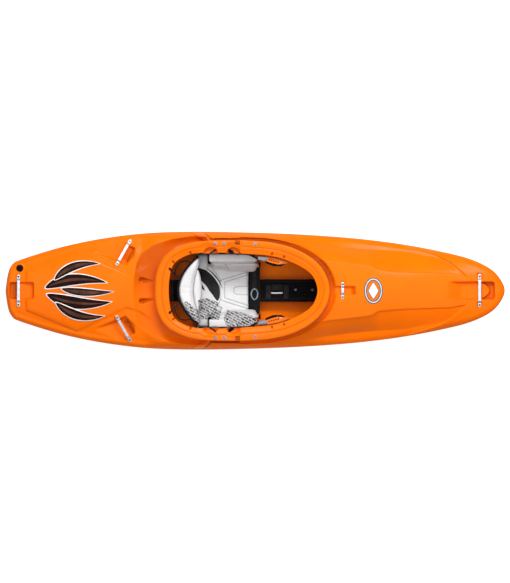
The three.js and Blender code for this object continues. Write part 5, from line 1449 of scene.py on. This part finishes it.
def bolsterPiece(sideName, side):
    # three stretches round each ring: up the slope, out along the top, and back under
    r, t = np.meshgrid(np.linspace(0, 1, 70), np.arange(48) / 48, indexing="ij")
    x = bolster["rear"] + (bolster["front"] - bolster["rear"]) * r
    taper = np.sqrt(np.clip(np.minimum(r, 1 - r) / bolster["endShare"], 0.02, 1))
    wider = ease((x - bolster["waistAt"]) / bolster["waistLength"])
    waist = bolster["waist"] + (1 - bolster["waist"]) * wider
    inner = bolster["high"] - (bolster["high"] - bolster["low"]) * taper * waist
    base = seatSurface(x, inner)[0] + 5
    top = base + (bolster["top"] - base) * (0.6 + 0.4 * taper)
    up, across, down = (np.clip(t * 3 - k, 0, 1) for k in range(3))
    outer, lip = bolster["high"], bolster["lip"]
    slope = inner + (outer - lip - inner) * up - bolster["swell"] * np.sin(np.pi * up)
    onSlope, onTop = t < 1 / 3, t < 2 / 3
    y = np.where(onSlope, slope, np.where(onTop, outer - lip + lip * across, outer + (inner - outer) * down))
    foot = seatSurface(x, outer + 0 * x)[0] + 3
    under = np.where(onTop, top + (foot - top) * across, seatSurface(x, y)[0] + 3)
    z = np.where(onSlope, base + (top - base) * up, under)
    pad = capped("hip_bolster_" + sideName, stacked(x, y * side, z), looks["cover"], "seat")
    stuffed(pad, bolster)
    sewnAndShaded = [openSpline([(px, py * side) for px, py in bolster["sewnAndShaded"]], 50)]
    pressLines(pad, sewnAndShaded, *bolster["sewnPress"])
    paintCover(pad, lines=sewnAndShaded)


# Low pads behind the hip pads, under the backrest's ends.
tailPad = {
    "x": (-314, -258), "y": (104, 201.5), "z": (76, 128), "border": 12, "inwardDrop": 26, "dropFrom": 150,
    "dropLength": 46, "voxel": 5.0, "pressure": 3.0, "cap": 2.0, "fill": 0.5, "soften": 8,
}


def tailPadPiece(sideName, side):  # a block whose upper side is a plane with rounded borders
    (x0, x1), (y0, y1), (low, high) = tailPad["x"], tailPad["y"], tailPad["z"]
    x, y = np.meshgrid(np.linspace(x0, x1, 30), np.linspace(y0, y1, 40), indexing="ij")
    border = np.minimum(np.minimum(x - x0, x1 - x), np.minimum(y - y0, y1 - y))
    base = np.maximum(seatSurface(x, y)[0] + 3, low)
    fall = tailPad["inwardDrop"] * ease((tailPad["dropFrom"] - y) / tailPad["dropLength"])
    top = np.maximum(high - tailPad["border"] * (1 - ease(border / tailPad["border"])) - fall, base + 3)
    pad = slabPiece("hip_tail_" + sideName, stacked(x, y * side, top), stacked(x, y * side, base),
                    looks["cover"], "seat")
    stuffed(pad, tailPad)
    paintCover(pad)


for sideName, side in sides:
    hipPadPiece(sideName, side)
    bolsterPiece(sideName, side)
    tailPadPiece(sideName, side)
backrestShell()
backrestPad()
lumbarPad()
print("hip pads and backrest ready")

# The seat's hard parts, the footplate, the rear pillar and the pins, carried over with rounded edges.
carried = {  # piece: (node, finish, width of the rounded edges, slot)
    "seat_base": ("seat_pan", "blackPlastic", 0.8, "black_plastic"),
    "seat_runners": ("seat_rails", "blackPlastic", 1.5, "black_plastic"),
    "seat_side_port": ("seat_bracket_port", "blackPlastic", 1.4, "black_plastic"),
    "seat_side_starboard": ("seat_bracket_starboard", "blackPlastic", 1.4, "black_plastic"),
    "lifter_shelf": ("lifter_plate", "blackPlastic", 1.6, "black_plastic"),
    # the foot block is lighter than the black plastic it is made of: painted light in the dark inside of the
    # hull
    "foot_block": ("footplate", "greyPlastic", 3.0, "black_plastic"),
    "rear_foam": ("rear_pillar", "blackFoam", 3.0, "foam"),
    "back_pin_port": ("backrest_pin_port", "steel", 0.8, "steel"),
    "back_pin_starboard": ("backrest_pin_starboard", "steel", 0.8, "steel"),
}
for name, (node, finish, width, slot) in carried.items():
    carriedOver(name, node, looks[finish], width)


def onSide(route, side):  # a route chosen on the port side, mirrored for starboard
    return [(x, y * side, z) for x, y, z in route]


def metres(place):
    return tuple(value * mm for value in place)


# Piping along the hip pads' outer edge, round the front corner and down to the seat's edge.
hipPiping = {
    "route": [(-327, 187, 258.5), (-300, 199, 259.5), (-261, 203, 260), (-168, 204.2, 260), (-100, 203, 260),
              (-49, 200, 260), (-22, 193, 259), (2, 182, 258), (16, 174, 256), (20.5, 168, 250),
              (21, 162, 236)],
    "lip": [(29.6, 157, 98), (31, 150, 104.5), (31.2, 138, 103.5), (30.6, 128, 100)],
    "width": 7, "height": 5, "lipRadius": 2.6,
}


def pipingPieces(sideName, side):
    section = softSection(hipPiping["width"], hipPiping["height"], 18, 0.7)
    swept("hip_piping_" + sideName, openSpline(onSide(hipPiping["route"], side), 140), section,
          looks["blackPlastic"], "seat")
    swept("seat_lip_" + sideName, openSpline(onSide(hipPiping["lip"], side), 40),
          roundSection(hipPiping["lipRadius"], 12), looks["blackPlastic"], "seat")


# Hip straps: flat webbing from under the rim down to the seat's sides, with a black buckle on the front one.
# Heights here are measured from the rim's plane, lowered by the drop.
hipStrap = {
    "rear": [(-196, 238, 0), (-206, 231, -5), (-228, 215, -6), (-248, 203.5, -8), (-257, 198, -20),
             (-263, 194, -31)],
    "front": [(-158, 238, 0), (-148, 231, -5), (-128, 217, -6), (-108, 204, -8), (-97, 199, -20),
              (-90, 195, -31)],
    "width": 14, "thickness": 1.6, "drop": 33,
}
buckle = {"centre": (-129, 213, -2), "way": (0.86, -0.50, -0.02), "length": 26, "width": 24, "height": 7,
          "lift": 1}


def hipStrapPiece(end, sideName, side):  # it bends between the rim, on the hull, and the seat
    route = [(x, y, rimHeight(x) - hipStrap["drop"] + z) for x, y, z in onSide(hipStrap[end], side)]
    section = softSection(hipStrap["width"], hipStrap["thickness"], 20, 0.35)
    strap = swept(f"hip_strap_{end}_{sideName}", openSpline(route, 60), section, looks["strapBlue"], None,
                  up=(0, side, 1))
    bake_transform(strap, "hull", "seat", start=metres(route[1]), end=metres(route[3]))


def bucklePiece(sideName, side):  # full in the middle, its ends thinner by the root of a cosine
    x, y, z = buckle["centre"]
    along = unit(np.array(buckle["way"]) * (1, side, 1))
    centre = np.array([x, y * side, rimHeight(x) - hipStrap["drop"] + z + buckle["lift"]])
    reach = np.linspace(-1, 1, 30)
    path = centre + along * (reach[:, None] * buckle["length"] / 2)
    full = np.cos(reach * np.pi / 2) ** 0.5
    clasp = swept("hip_buckle_" + sideName, path, softSection(buckle["width"], buckle["height"], 28, 0.45),
                  looks["blackPlastic"], None, up=(0, side, 1),
                  sizes=np.stack([0.8 + 0.2 * full, 0.55 + 0.45 * full], -1))
    start, end = ((*onSide(hipStrap["front"], side)[k][:2], centre[2]) for k in (1, 3))
    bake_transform(clasp, "hull", "seat", start=metres(start), end=metres(end))


# Cords behind the backrest: a thin loop on each side and a thicker tie to a knot at the rim.
cords = {
    "loop": {"route": [(-349.2, 157, 238), (-382, 162, 240), (-412, 152, 242), (-431, 122, 243),
                       (-436, 92, 243), (-418.2, 70, 242)], "radius": 2.6, "steps": 160},
    "tie": {"route": [(-469, 125, 307), (-455, 112, 307), (-442, 95, 296), (-429, 81, 270), (-420, 73, 247)],
            "radius": 4.0, "steps": 120, "held": (20, 100)},
}
knot = {"at": (-461, 117.5, 306.0), "radius": 4.2, "cord": 2.2, "length": 9, "turns": 3, "steps": 90}


def cordPiece(kind, sideName, side):  # its radius ripples like plaited cord and closes in at both ends
    size = cords[kind]
    node = f"backrest_{kind}_{sideName}"
    path = openSpline(onSide(size["route"], side), size["steps"])
    run = np.arange(size["steps"])
    plait = 1 + 0.06 * np.cos(run * 1.3)
    tips = np.sqrt(np.clip(np.minimum(run, run[::-1]) / 3, 0.15, 1))
    cord = swept(f"{kind}_cord_{sideName}", path, roundSection(size["radius"], 14), looks["cord"],
                 None if "held" in size else bodyOf(node), [node],
                 sizes=np.stack([plait * tips, plait[::-1] * tips], -1))
    if "held" in size:  # by the rim at its knot, by the seat at its low end
        start, end = size["held"]
        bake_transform(cord, "hull", "seat", start=tuple(path[start] * mm), end=tuple(path[end] * mm))


def knotPiece(sideName, side):  # three turns of cord wound round the tie: a helix
    t = np.linspace(0, 2 * np.pi * knot["turns"], knot["steps"])
    first, second = (np.array(place[:2]) for place in onSide(cords["tie"]["route"], side)[:2])
    way = unit(np.array([*(first - second), 0]))
    across = np.array([-way[1], way[0], 0])
    start = np.array(knot["at"]) * (1, side, 1)
    circle = across * np.cos(t)[:, None] + np.array([0, 0, 1.0]) * np.sin(t)[:, None]
    path = start + way * (t[:, None] / t[-1] * knot["length"] - 2) + circle * knot["radius"]
    swept("tie_knot_" + sideName, path, roundSection(knot["cord"], 10), looks["cord"], "hull",
          up=(0.1, 0.2, 1))


for sideName, side in sides:
    pipingPieces(sideName, side)
for sideName, side in sides:
    for end in ("rear", "front"):
        hipStrapPiece(end, sideName, side)
    bucklePiece(sideName, side)
for kind in cords:
    for sideName, side in sides:
        cordPiece(kind, sideName, side)
for sideName, side in sides:
    knotPiece(sideName, side)
print("straps and cords ready")

# Leg lifter: webbing across its shelf and a flat pull ring, pointed at one end.
lifter = {
    "top": 97, "webbingWidth": 21, "webbingThickness": 2, "start": 16, "end": 124, "ringCentre": (0, -20),
    "ringHalf": (22, 33), "bar": 8, "thickness": 5, "point": 0.16, "steps": 120,
}


def lifterStrap():  # it lies on the shelf, with two low waves
    y = np.linspace(lifter["start"], lifter["end"], 60)
    z = lifter["top"] + 1.5 + 0.5 * np.sin(y * 0.16) ** 2
    section = softSection(lifter["webbingWidth"], lifter["webbingThickness"], 24, 0.3)
    swept("lifter_strap", np.stack([np.zeros(60), y, z], -1), section, looks["webbing"], "seat",
          ["lifter_webbing"])


def lifterRing():  # an ellipse that narrows towards its pointed end
    angle = np.linspace(0, 2 * np.pi, lifter["steps"] + 1)[:-1]
    halfX, halfY = (half - lifter["bar"] / 2 for half in lifter["ringHalf"])
    x = halfX * np.cos(angle) * (1 - lifter["point"] * np.clip(-np.sin(angle), 0, 1))
    y = lifter["ringCentre"][1] + halfY * np.sin(angle)
    level = lifter["top"] + 0.4 + lifter["thickness"] / 2
    line = np.stack([x, y, np.full(lifter["steps"], level)], -1)
    section = softSection(lifter["bar"] - 0.6, lifter["thickness"] - 0.4, 20, 0.55)
    closedSweep("lifter_pull", line, (*lifter["ringCentre"], level), section, looks["dullSteel"], "seat",
                ["lifter_ring"])


lifterStrap()
lifterRing()
print("lifter ready")

# Thigh hooks with their pads, screws and eyelets, the ladder straps, and the ratchets with their levers.
hookScrew = {
    "place": (146, 153), "top": 3.6, "socket": 2.6,
    "profile": [(3, -6), (3, 0.1), (5.2, 0.1), (5.5, 0.5), (5.4, 1.6), (4.6, 2.6), (3, 3.2), (2.6, 3.1),
                (2.4, 1.6), (0.4, 1.5)],
}
eyelet = {
    "count": 5, "from": (82, 168), "to": (130, 156), "drop": 35.2,
    "profile": [(2.2, 0), (4.0, 0), (4.0, 0.5), (3.6, 0.9), (2.8, 0.9), (2.2, 0.6)],
}
ladder = {
    "rear": -300, "front": 192, "inset": 4, "thickness": 2, "low": -35, "teeth": 1.0, "pitch": 5.2,
    "steps": 560,
    # height, and how far the teeth stand out there
    "levels": [(0, 0), (1.5, 0), (3, 1), (9, 1), (10.5, 0), (12, 0)],
}
ratchet = {
    "place": (44, 174), "turn": -9, "low": -35, "height": 9, "leverHalf": 21.5, "leverWidth": 12.5,
    "leverThickness": 2.9, "pins": (-15.5, 14.0), "pinInset": 9.3,
    "pin": [(1.7, 0), (1.9, 0.4), (1.9, 18.1), (1.7, 18.5), (0.4, 18.6)],
}
plainOpening = contourOf(openingShares, rim["openingLength"], rim["openingWidth"], rim["openingCentre"])
upperHalf = plainOpening[plainOpening[:, 1] >= 0]
upperHalf = upperHalf[upperHalf[:, 0].argsort()]


def hookPieces(sideName, side):
    carriedOver("thigh_brace_" + sideName, "thigh_hook_" + sideName, looks["hookPlastic"], 1.2)
    carriedOver("thigh_foam_" + sideName, "thigh_pad_" + sideName, looks["blackFoam"], 3.0)
    screw = "thigh_hook_screw_" + sideName
    x, y = hookScrew["place"]
    low = cornersOf(screw)[:, 2].max() - hookScrew["top"]
    # the socket is painted dark, as painted shade
    turned("thigh_bolt_" + sideName, hookScrew["profile"], (x, y * side, low), rimAxis, looks["steel"],
           bodyOf(screw), [screw], socket=(hookScrew["socket"], looks["blackPlastic"]))
    for k, (x, y) in enumerate(np.linspace(eyelet["from"], eyelet["to"], eyelet["count"])):
        turned(f"hook_eyelet_{k + 1}_{sideName}", eyelet["profile"],
               (x, y * side, rimHeight(x) - eyelet["drop"]), rimAxis, looks["blackPlastic"],
               bodyOf("thigh_hook_" + sideName), steps=24)


def ladderPiece(sideName, side):  # a band along the rim's inner edge, with a tooth in each half pitch
    x = np.linspace(ladder["rear"], ladder["front"], ladder["steps"])
    y = np.minimum(np.interp(x, upperHalf[:, 0], upperHalf[:, 1]), rim["openingWidth"] / 2) - ladder["inset"]
    tooth = ladder["teeth"] * (np.sin(2 * np.pi * x / ladder["pitch"]) > 0)
    levels, bulge = np.array(ladder["levels"], float).T
    outer = stacked(x[:, None], (y * side)[:, None], (rimHeight(x) + ladder["low"])[:, None] + 0.3 + levels)
    inner = outer.copy()
    inner[..., 1] = side * (y[:, None] - ladder["thickness"] + 0.6 - tooth[:, None] * bulge)
    node = "ladder_strap_" + sideName
    slabPiece("ladder_band_" + sideName, outer, inner, looks["strapBlue"], bodyOf(node), [node])


def ratchetPieces(sideName, side):  # its base, a ridged lever with round ends, and two pins across
    turn = np.radians(ratchet["turn"] * side)
    way = np.array([np.cos(turn), np.sin(turn), np.cos(turn) * -rimAxis[0]])
    across = np.array([-np.sin(turn), np.cos(turn), 0])
    up = np.array([0, 0, 1.0])
    x, y = ratchet["place"]
    centre = np.array([x, y * side, rimHeight(x) + ratchet["low"]])
    carriedOver("ratchet_base_" + sideName, "ratchet_" + sideName, looks["dullSteel"], 1.4)
    node = "ratchet_lever_" + sideName
    u = np.linspace(-ratchet["leverHalf"], ratchet["leverHalf"], 120)
    ridges = 0.5 * (np.sin(u * 1.25) > 0) * (u > 2)
    ends = np.sqrt(np.clip(1 - np.clip((np.abs(u) - 15) / 7, 0, 1) ** 2, 0.05, 1))
    path = centre + way * u[:, None] + up * (ratchet["height"] + 2.1 + 0.4 * ridges[:, None])
    section = softSection(ratchet["leverWidth"], ratchet["leverThickness"], 24, 0.5)
    swept("ratchet_arm_" + sideName, path, section,
          looks["dullSteel"], bodyOf(node), [node],
          sizes=np.stack([ends * (0.82 + 0.18 * ease(-u / 12)), 1 + 0.25 * ridges], -1))
    for k, place in enumerate(ratchet["pins"]):
        at = centre + way * place - across * ratchet["pinInset"] + up * (ratchet["height"] - 2.2)
        turned(f"ratchet_pin_{k + 1}_{sideName}", ratchet["pin"], at, across, looks["darkSteel"],
               bodyOf("ratchet_" + sideName), steps=20)


for sideName, side in sides:
    hookPieces(sideName, side)
    ladderPiece(sideName, side)
    ratchetPieces(sideName, side)
print("hooks ready")

# Centre beam on the floor, with its bands, panel, plain strip, rails and screws.
beam = {
    "top": 80, "bands": [(63, 91), (161, 189)], "bandInner": -45, "bandOuter": 30, "bandThickness": 1.8,
    "panel": (95, 157, -2, 36), "panelHeight": 2.2, "panelEdge": 4, "strip": (93, 155, -17, -9),
    "rails": (52, -46), "railEnds": (36, 700), "railWidth": 9, "railHeight": 2.6, "screwTop": 5.1,
    "socket": 3.7,
    "screw": [(3, -10), (3, 0.1), (8.6, 0.1), (9, 0.6), (8.8, 1.8), (7.6, 3.4), (5.4, 4.7), (4, 5.0),
              (3.6, 4.9), (3.3, 2.6), (0.4, 2.4)],
}


def beamBands():  # each lies on the beam with low waves
    for k, (rear, front) in enumerate(beam["bands"]):
        y = np.linspace(beam["bandInner"], beam["bandOuter"], 70)
        path = stacked((rear + front) / 2, y, beam["top"] + 1.4 + 0.5 * np.sin(y * 0.21))
        section = softSection(front - rear - 1, beam["bandThickness"], 26, 0.3)
        swept(f"beam_strap_{k + 1}", path, section, looks["webbing"], "hull", [f"beam_band_{k + 1}"])


def beamPanel():  # a low plate with rounded borders
    rear, front, inner, outer = beam["panel"]
    x, y = np.meshgrid(np.linspace(rear, front, 30), np.linspace(inner, outer, 20), indexing="ij")
    border = np.minimum(np.minimum(x - rear, front - x), np.minimum(y - inner, outer - y))
    top = beam["top"] + 0.4 + beam["panelHeight"] * ease(border / beam["panelEdge"])
    slabPiece("beam_panel", stacked(x, y, top), stacked(x, y, beam["top"] + 0.1), looks["greyPlastic"],
              "hull")


def beamStrip():
    rear, front, inner, outer = beam["strip"]
    x, y = np.meshgrid(np.linspace(rear, front, 20), np.linspace(inner, outer, 8), indexing="ij")
    slabPiece("beam_strip", stacked(x, y, beam["top"] + 0.9), stacked(x, y, beam["top"] + 0.1),
              looks["printWhite"], "hull")


def beamScrews():
    for k in range(2):
        corners = cornersOf(f"beam_screw_{k + 1}")
        high, low = corners.max(0), corners.min(0)
        at = ((high[0] + low[0]) / 2, (high[1] + low[1]) / 2, high[2] - beam["screwTop"])
        # the sockets are painted dark, as painted shade
        turned(f"beam_bolt_{k + 1}", beam["screw"], at, (0, 0, 1), looks["darkSteel"], "hull",
               [f"beam_screw_{k + 1}"], socket=(beam["socket"], looks["blackPlastic"]))


def beamRails():  # long soft rails let into the beam's upper edges
    x = np.linspace(*beam["railEnds"], 160)
    section = softSection(beam["railWidth"], beam["railHeight"], 18, 0.6)
    for k, y in enumerate(beam["rails"]):
        swept(f"beam_rail_{k + 1}", stacked(x, float(y), beam["top"] + 0.9), section,
              looks["blackPlastic"], "hull")


carriedOver("floor_beam", "centre_beam", looks["blackFoam"], 3.2)
beamBands()
beamPanel()
beamStrip()
beamScrews()
beamRails()
print("beam ready")

# Printed decoration: thin closed sheets laid on the deck.
leafShapes = [  # root, bend, tip, half breadth
    [(-1148, 14), (-1010, 92), (-812, 44), 30], [(-1140, -20), (-985, -96), (-786, -62), 32],
    [(-1098, 60), (-1010, 160), (-852, 148), 22], [(-1090, -66), (-985, -168), (-826, -140), 24],
    [(-1060, 10), (-930, -22), (-776, -6), 20],
]
leafBorder = {"outline": 5.5, "vein": 0.34, "veinInset": -18, "length": 260}
bowMark = {
    "centre": (650, -1), "half": (47, 67), "bar": 6.5, "ringBorder": 5.0, "star": (27, 44), "starBorder": 4.5,
    "starPower": 1.9,
}
printLift = {"under": 0.5, "over": 0.85, "thickness": 0.3}


def leafGrid(root, bend, tip, half, extra):
    # a bent leaf: breadth = sine of the share along, to the power 0.8, leaning to the root
    more = extra / leafBorder["length"]
    t, v = np.meshgrid(np.linspace(-more, 1 + more, 90), np.linspace(-1, 1, 13), indexing="ij")
    p0, p1, p2 = (np.array(p, float) for p in (root, bend, tip))
    spine = p0 * ((1 - t) ** 2)[..., None] + p1 * (2 * t * (1 - t))[..., None] + p2 * (t ** 2)[..., None]
    way = unit((p1 - p0) * (1 - t)[..., None] + (p2 - p1) * t[..., None])
    share = np.clip((t + more) / (1 + 2 * more), 0, 1)
    breadth = (half + extra) * np.sin(np.pi * share ** 0.8) ** 0.8 + 0.05
    return spine + np.stack([-way[..., 1], way[..., 0]], -1) * (v * breadth)[..., None]


def printed(name, plan, lift, look):
    x, y = plan[..., 0], plan[..., 1]
    z = deckHeight(x, y)[0] + lift
    slabPiece(name, stacked(x, y, z), stacked(x, y, z - printLift["thickness"]), looks[look], "hull")


def leafPrints():
    for k, (root, bend, tip, half) in enumerate(leafShapes):
        rise = 0.5 + 0.9 * k
        vein = half * leafBorder["vein"]
        printed(f"stern_leaf_edge_{k + 1}", leafGrid(root, bend, tip, half, leafBorder["outline"]), rise,
                "printWhite")
        printed(f"stern_leaf_{k + 1}", leafGrid(root, bend, tip, half, 0), rise + 0.35, "printBrown")
        printed(f"stern_leaf_vein_{k + 1}", leafGrid(root, bend, tip, vein, leafBorder["veinInset"]),
                rise + 0.7, "printTan")


def ringPrint(name, grow, lift, look):  # an ellipse's band
    bar = np.linspace(-grow, bowMark["bar"] + grow, 5)
    angle, v = np.meshgrid(np.linspace(0, 2 * np.pi, 121), bar, indexing="ij")
    (x, y), (halfX, halfY) = bowMark["centre"], bowMark["half"]
    printed(name, stacked(x + (halfX - v) * np.cos(angle), y + (halfY - v) * np.sin(angle)), lift, look)


def starPrint(name, grow, lift, look):  # four soft points: an astroid, signed powers of cosine and sine
    angle, v = np.meshgrid(np.linspace(0, 2 * np.pi, 121), np.linspace(0.02, 1, 14), indexing="ij")
    c, s = np.cos(angle), np.sin(angle)
    (x, y), (halfX, halfY) = bowMark["centre"], bowMark["star"]
    armX = (halfX + grow) * power(c, bowMark["starPower"])
    armY = (halfY + grow) * power(s, bowMark["starPower"])
    printed(name, stacked(x + v * armX, y + v * armY), lift, look)


leafPrints()
ringPrint("bow_ring_edge", bowMark["ringBorder"], printLift["under"], "printSlate")
ringPrint("bow_ring", 0, printLift["over"], "printPale")
starPrint("bow_star_edge", bowMark["starBorder"], printLift["under"], "printSlate")
starPrint("bow_star", 0, printLift["over"], "printWhite")
print("decoration ready")


# View, lamps and floor.
view = {
    "centre": (0.00275, -0.00495), "lens": 300.0, "sensor": 36.0, "pixelsTall": 583, "pixel": 5.5 * mm,
    "level": 0.2,
}
camera = bpy.data.objects.new("camera", bpy.data.cameras.new("camera"))
scene.collection.objects.link(camera)
camera.data.lens, camera.data.sensor_width = view["lens"], view["sensor"]
distance = view["pixelsTall"] * view["pixel"] * view["lens"] / view["sensor"]
camera.location = (*view["centre"], view["level"] + distance)
camera.data.clip_end = 200
scene.camera = camera
scene.view_settings.view_transform = "Standard"

lamps = {
    "key": {"at": (0.5, 2.6, 3.7), "size": (3.4, 0.8), "power": 165, "aim": (0.1, 0, 0.2)},
    "fill": {"at": (0, -0.1, 4.6), "size": (6.0, 5.0), "power": 136, "aim": (0, 0, 0.2)},
    "front": {"at": (4.6, 0.4, 3.0), "size": (2.5, 2.5), "power": 8, "aim": (0, 0, 0.2)},
}
for name, lamp in lamps.items():
    light = bpy.data.lights.new(name, "AREA")
    light.shape, light.energy = "RECTANGLE", lamp["power"]
    light.size, light.size_y = lamp["size"]
    holder = bpy.data.objects.new(name, light)
    scene.collection.objects.link(holder)
    holder.location = lamp["at"]
    holder.rotation_euler = (Vector(lamp["aim"]) - Vector(lamp["at"])).to_track_quat("-Z", "Y").to_euler()


def whiteWhereSeen(tree, shader, output, seen):  # camera, glossy and transmission rays meet the pale backdrop
    rays = tree.nodes.new("ShaderNodeLightPath")
    either = [tree.nodes.new("ShaderNodeMath") for _ in range(2)]
    for node in either:
        node.operation = "MAXIMUM"
    tree.links.new(rays.outputs["Is Camera Ray"], either[0].inputs[0])
    tree.links.new(rays.outputs["Is Glossy Ray"], either[0].inputs[1])
    tree.links.new(either[0].outputs[0], either[1].inputs[0])
    tree.links.new(rays.outputs["Is Transmission Ray"], either[1].inputs[1])
    mix = tree.nodes.new("ShaderNodeMixShader")
    tree.links.new(either[1].outputs[0], mix.inputs[0])
    tree.links.new(shader.outputs[0], mix.inputs[1])
    tree.links.new(seen.outputs[0], mix.inputs[2])
    tree.links.new(mix.outputs[0], output.inputs[0])


world = bpy.data.worlds.new("room")
scene.world = world
world.use_nodes = True
tree = world.node_tree
room = tree.nodes["Background"]
room.inputs["Color"].default_value = (1, 1, 1, 1)
room.inputs["Strength"].default_value = 0.25
seen = tree.nodes.new("ShaderNodeBackground")
seen.inputs["Strength"].default_value = 1.0
whiteWhereSeen(tree, room, tree.nodes["World Output"], seen)

ground = {"half": 30, "level": -0.0005, "colour": (0.6, 0.6, 0.6), "rough": 0.9, "seenStrength": 0.78}
floorMesh = bpy.data.meshes.new("floor")
floorCorners = [(x * ground["half"], y * ground["half"], ground["level"])
                for x, y in ((-1, -1), (1, -1), (1, 1), (-1, 1))]
floorMesh.from_pydata(floorCorners, [], [(0, 1, 2, 3)])
floor = bpy.data.objects.new("floor", floorMesh)
scene.collection.objects.link(floor)
floorLook, floorShader = shaderOf("floor_white", ground["colour"], ground["rough"])
floorShader.inputs["Specular IOR Level"].default_value = 0.0
tree = floorLook.node_tree
glow = tree.nodes.new("ShaderNodeEmission")
glow.inputs["Strength"].default_value = ground["seenStrength"]
both = tree.nodes.new("ShaderNodeAddShader")
tree.links.new(floorShader.outputs[0], both.inputs[0])
tree.links.new(glow.outputs[0], both.inputs[1])
whiteWhereSeen(tree, floorShader, tree.nodes["Material Output"], both)
floorMesh.materials.append(floorLook)
